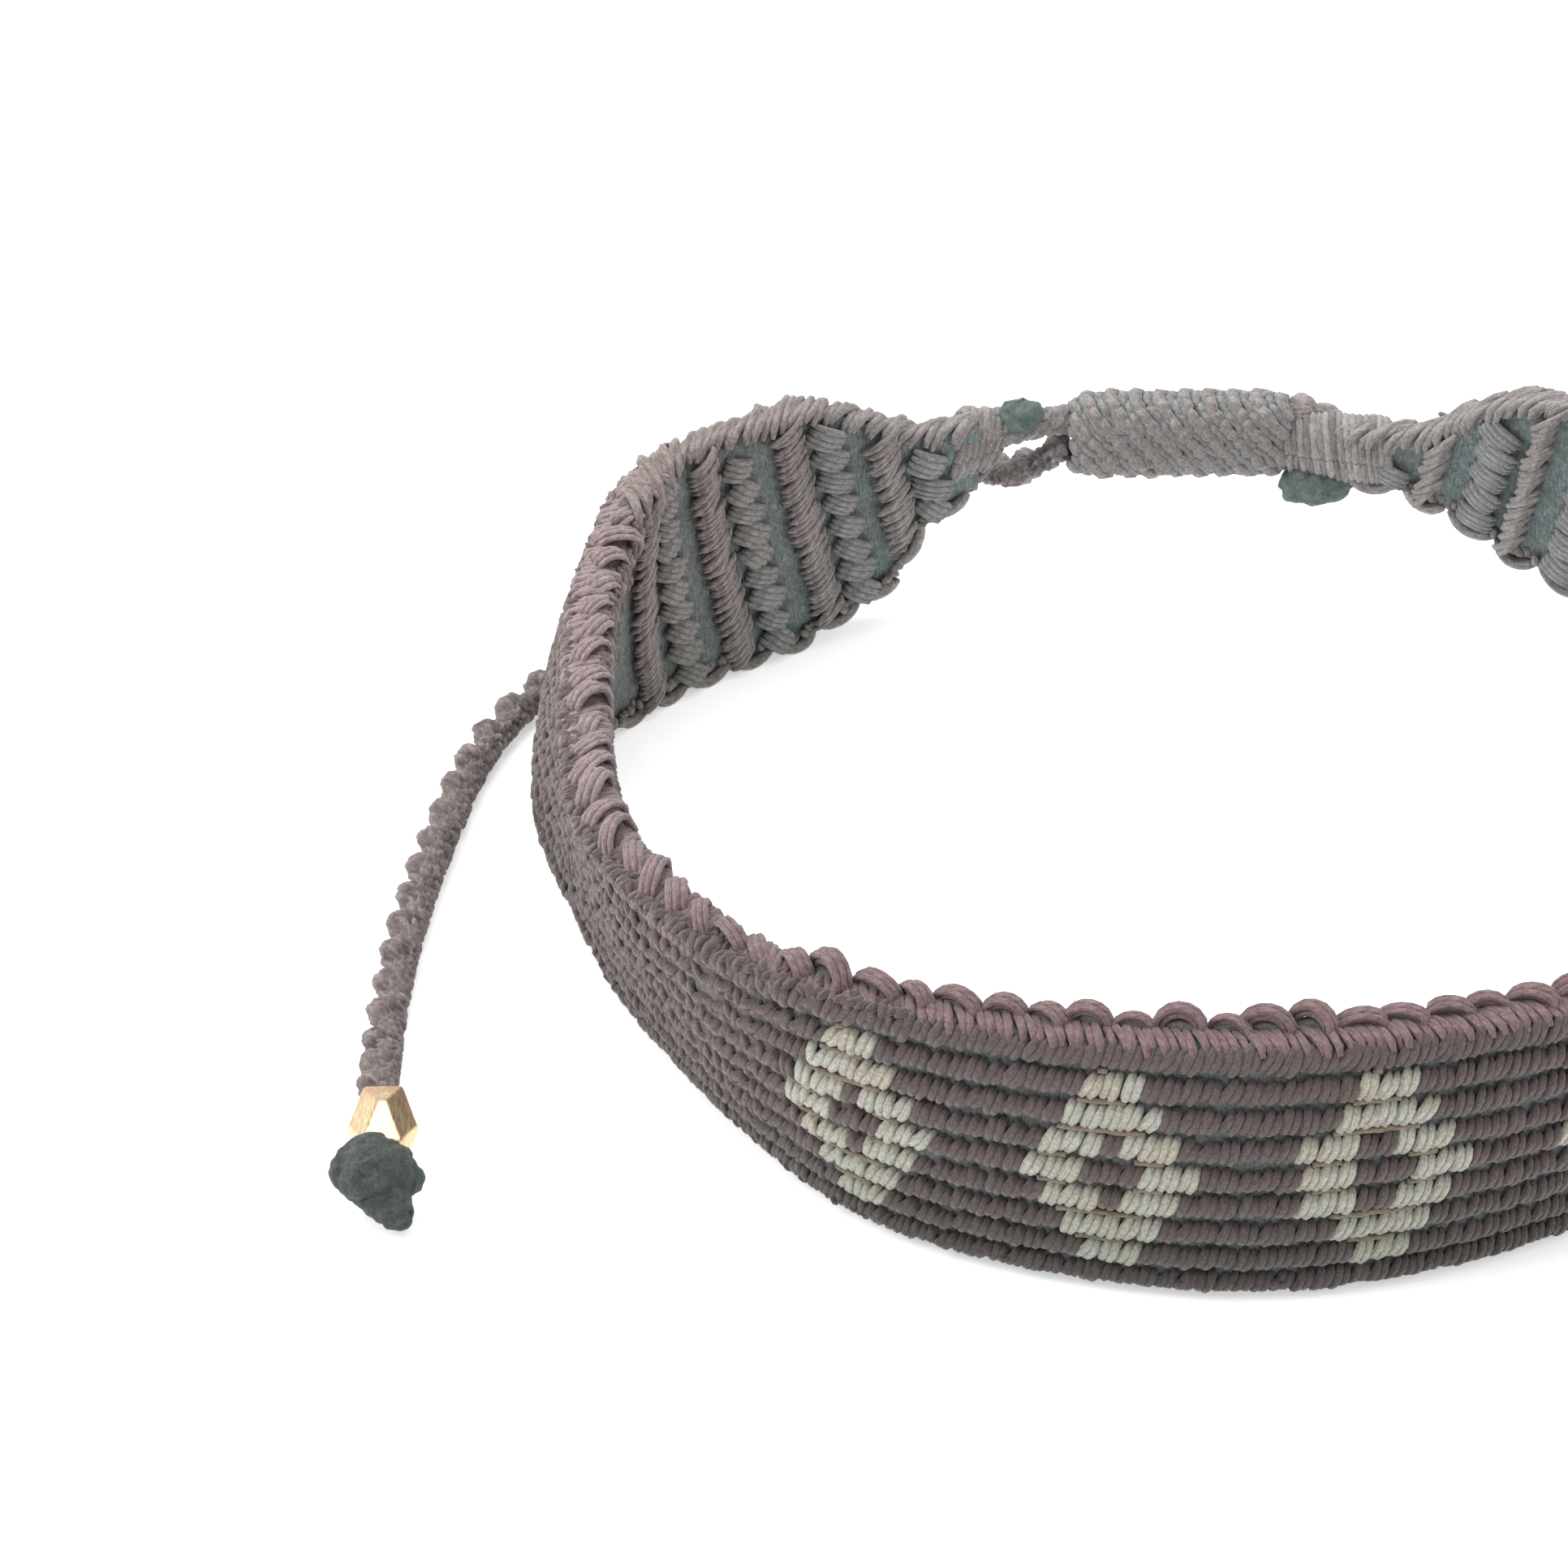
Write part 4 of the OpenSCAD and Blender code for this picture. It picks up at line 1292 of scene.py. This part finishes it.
# %% Melted ends of the sleeve's thread
STUBS = {"left": ([(-8.2, 26.5, 9.8), (-7.85, 26.5, 9.95), (-7.2, 26.5, 10.05), (-6.7, 26.5, 9.95),
                   (-6.4, 26.6, 9.8)], [0.4, 0.78, 0.85, 0.75, 0.4], 0.2, 5),
         "right": ([(4.75, 26.4, 6.7), (5.2, 26.3, 6.55), (6.3, 26.3, 6.3), (7.3, 26.4, 6.4),
                    (7.9, 26.5, 6.7)], [0.5, 0.95, 1.05, 0.85, 0.4], 0.22, 8)}
for word, (places, radii, lump, seed) in STUBS.items():
    stub = Strands()
    stub.lay(places, radii, 12)
    seat(fused("melted_end_" + word, stub, lump, seed, melted_rear), "sleeve_end_" + word)

# %% [markdown]
# The tails ride on the bracelet, and each stands for its tie node.

for word, side in SIDES.items():
    core = tail_pieces[side]
    route, length = tails[side]
    seat(core, "tie_" + word)

# %% [markdown]
# ## The sleeve and the cords in it
# Between the tapers both cords run through a knotted sleeve. Its ridges slant down to the right, and
# each is a row of small lumps, with smaller lumps in the valleys. The section is two half circles
# and the straights between them, so places round it are found by length, not by angle.

# %% Cords in the sleeve
for word, side in SIDES.items():
    route, _ = smooth(slide_route(side))
    core = CordSkin(route, plain_round, plain_shade, side).skin("slide_cord_thread_" + word, None, dusty)
    seat(core, "slide_cord_" + word)

# %% [markdown]
# Where the tapers end, the working thread winds round the cords in leaning turns before it stops.
# Each table row gives the line that the turns go round, their step, half their height and half their
# depth at both ends of the line, their lean, the thread's radius and the node that they stand for.

# %% Whipped ends of the tapers
WHIPPED = {"left": ((-10.3, 26.45, 8.3), (-8.3, 26.7, 8.75), 0.34, (1.75, 1.2), (1.2, 0.9),
                    0.35, 0.21, "taper_left"),
           "right": ((5.0, 26.8, 8.3), (9.6, 26.5, 7.85), 0.3, (1.45, 1.6), (1.0, 1.2),
                     -0.15, 0.19, "slide_cord_right")}


def whipping(start, end, step, heights, depths, lean, radius):
    """Leaning oval turns of thread round a straight line."""
    start, end = np.array(start), np.array(end)
    t, turns = unit(end - start), Strands()
    across = unit(np.cross(t, (0, 0, 1)))
    count = int(np.linalg.norm(end - start) / step)
    for i in range(count + 1):
        f = i / count
        h = heights[0] + (heights[1] - heights[0]) * f + give(0.06)
        w = depths[0] + (depths[1] - depths[0]) * f + give(0.04)
        middle = start + (end - start) * f
        rise = (t * lean + (0, 0, 1)) * h
        path = [middle + turned(across * w, rise, a) for a in np.linspace(0, 2 * math.pi, 25)]
        radii = [radius * die.uniform(0.85, 1.15) for _ in path]
        turns.lay(path, radii, 6, 1.0, tuple(t), die.random())
    return turns


for word, (*line, node) in WHIPPED.items():
    seat(whipping(*line).piece("tip_turns_" + word, dusty), node)

# %% Places on the sleeve
RIDGE_LEAN = -0.84
RIDGE_STEP = 1.1
RIDGES = range(-2, 12)
MOUTH, MOUTH_DIP, MOUTH_CLEAR = 1.1, 0.4, 0.15
# A row's shift in steps, its radius, the step between its stitches and their size.
RIDGE = (0, 1.1, 0.44, (1.15, 1.6, 1.3))
VALLEY = (0.5, 1.06, 0.4, (1.1, 1.1, 1.0))


def sleeve_place(middle, r, d):
    """Point and outward direction on a leaning ridge, at a length d round the section."""
    straight, bend = 2 * CHANNEL, math.pi * r
    d %= 2 * (straight + bend)
    sign = 1 if d < straight + bend else -1
    d -= 0 if sign > 0 else straight + bend
    if d < straight:
        y, z, oy, oz = -r, d - CHANNEL, -1.0, 0.0
    else:
        a = (d - straight) / r
        oy, oz = -math.cos(a), math.sin(a)
        y, z = r * oy, CHANNEL + r * oz
    point = np.array([middle + RIDGE_LEAN * sign * z, CLOSURE_Y + sign * y, CLOSURE_Z + sign * z])
    return point, np.array([0.0, sign * oy, sign * oz])


def sleeve_row(i, shift, r, step, size):
    """The stitches of one ridge or valley; they sink a little at the sleeve's mouths."""
    middle = -SLEEVE_HALF + (i + shift) * RIDGE_STEP
    row = []
    for d in np.arange(0, 2 * (2 * CHANNEL + math.pi * r), step):
        p, out = sleeve_place(middle, r + give(0.03), d)
        p = p - out * MOUTH_DIP * max(0, (abs(p[0]) - SLEEVE_HALF + MOUTH) / MOUTH) ** 2
        if abs(p[0]) < SLEEVE_HALF - MOUTH_CLEAR:
            row.append((p, unit(sleeve_place(middle, r, d + 0.1)[0] - p), out, size))
    return row


ridge_rows, valley_rows = [], []
for i in RIDGES:
    ridge_rows += sleeve_row(i, *RIDGE)
    valley_rows += sleeve_row(i, *VALLEY)
print(len(ridge_rows), "stitches in the ridges,", len(valley_rows), "in the valleys")

# %% Sleeve
CORE_R = 0.94
# The valleys take the darker shaded thread: painted shade in the sleeve's recesses.
for name, rows, thread, seed, jitters in (("sleeve_ridges", ridge_rows, dusty, 81, (0.15, 0.3, 0.15)),
                                          ("sleeve_valleys", valley_rows, shaded, 82, (0.15, 0.4, 0.15))):
    lay_stitches(name, rows, bean, thread, seed, jitters, "closure_sleeve")
inner = Strands()
line = [(x, CLOSURE_Y, CLOSURE_Z) for x in np.linspace(0.1 - SLEEVE_HALF, SLEEVE_HALF - 0.1, 11)]
inner.lay(line, [CORE_R] * len(line), 20, (CHANNEL + CORE_R) / CORE_R, (0, 0, 1), 0.2)
seat(inner.piece("sleeve_core", gap_rear), "closure_sleeve")

# %% [markdown]
# ## Table and light
# A pale table and a broad soft light, as in a plain studio. One lamp hangs above and a little behind,
# one stands on the left, and a weak one on the right fills the shadows. The surround is bright and
# even, and the table glows a little, so that it comes out white with only a faint shadow.

# %% Table
table = bmesh.new()
bmesh.ops.create_grid(table, x_segments=1, y_segments=1, size=3.0)
pale, pale_tree, surface = new_material("pale_table")
feed(pale_tree, surface, {"Base Color": grey(0.85), "Roughness": 0.9, "Emission Color": grey(1),
                          "Emission Strength": 0.45})
new_object("table", filled(bpy.data.meshes.new("table"), table), pale)
print("table finish:", pale.name)

# %% Lamps and surround
LAMPS = [("top_lamp", (0.0, 0.25, 1.0), 0.9, 8), ("key_lamp", (-0.9, -0.1, 0.7), 0.7, 7.5),
         ("fill_lamp", (0.7, -0.3, 0.6), 0.8, 1.5)]
SURROUND = 0.72
for name, place, size, power in LAMPS:
    lamp = bpy.data.lights.new(name, "AREA")
    lamp.size, lamp.energy = size, power
    holder = bpy.data.objects.new(name, lamp)
    holder.location = place
    holder.rotation_euler = (-Vector(place)).to_track_quat("-Z", "Y").to_euler()
    bpy.context.scene.collection.objects.link(holder)
world = bpy.data.worlds.new("surround")
world.use_nodes = True
feed(world.node_tree, world.node_tree.nodes["Background"], {"Color": grey(1), "Strength": SURROUND})
bpy.context.scene.world = world
bpy.context.scene.view_settings.view_transform = "Standard"

# %% [markdown]
# ## Finish
# The stitch forms were only patterns, so they go.

# %% Remove the stitch forms
for form in FORMS:
    bpy.data.objects.remove(form)
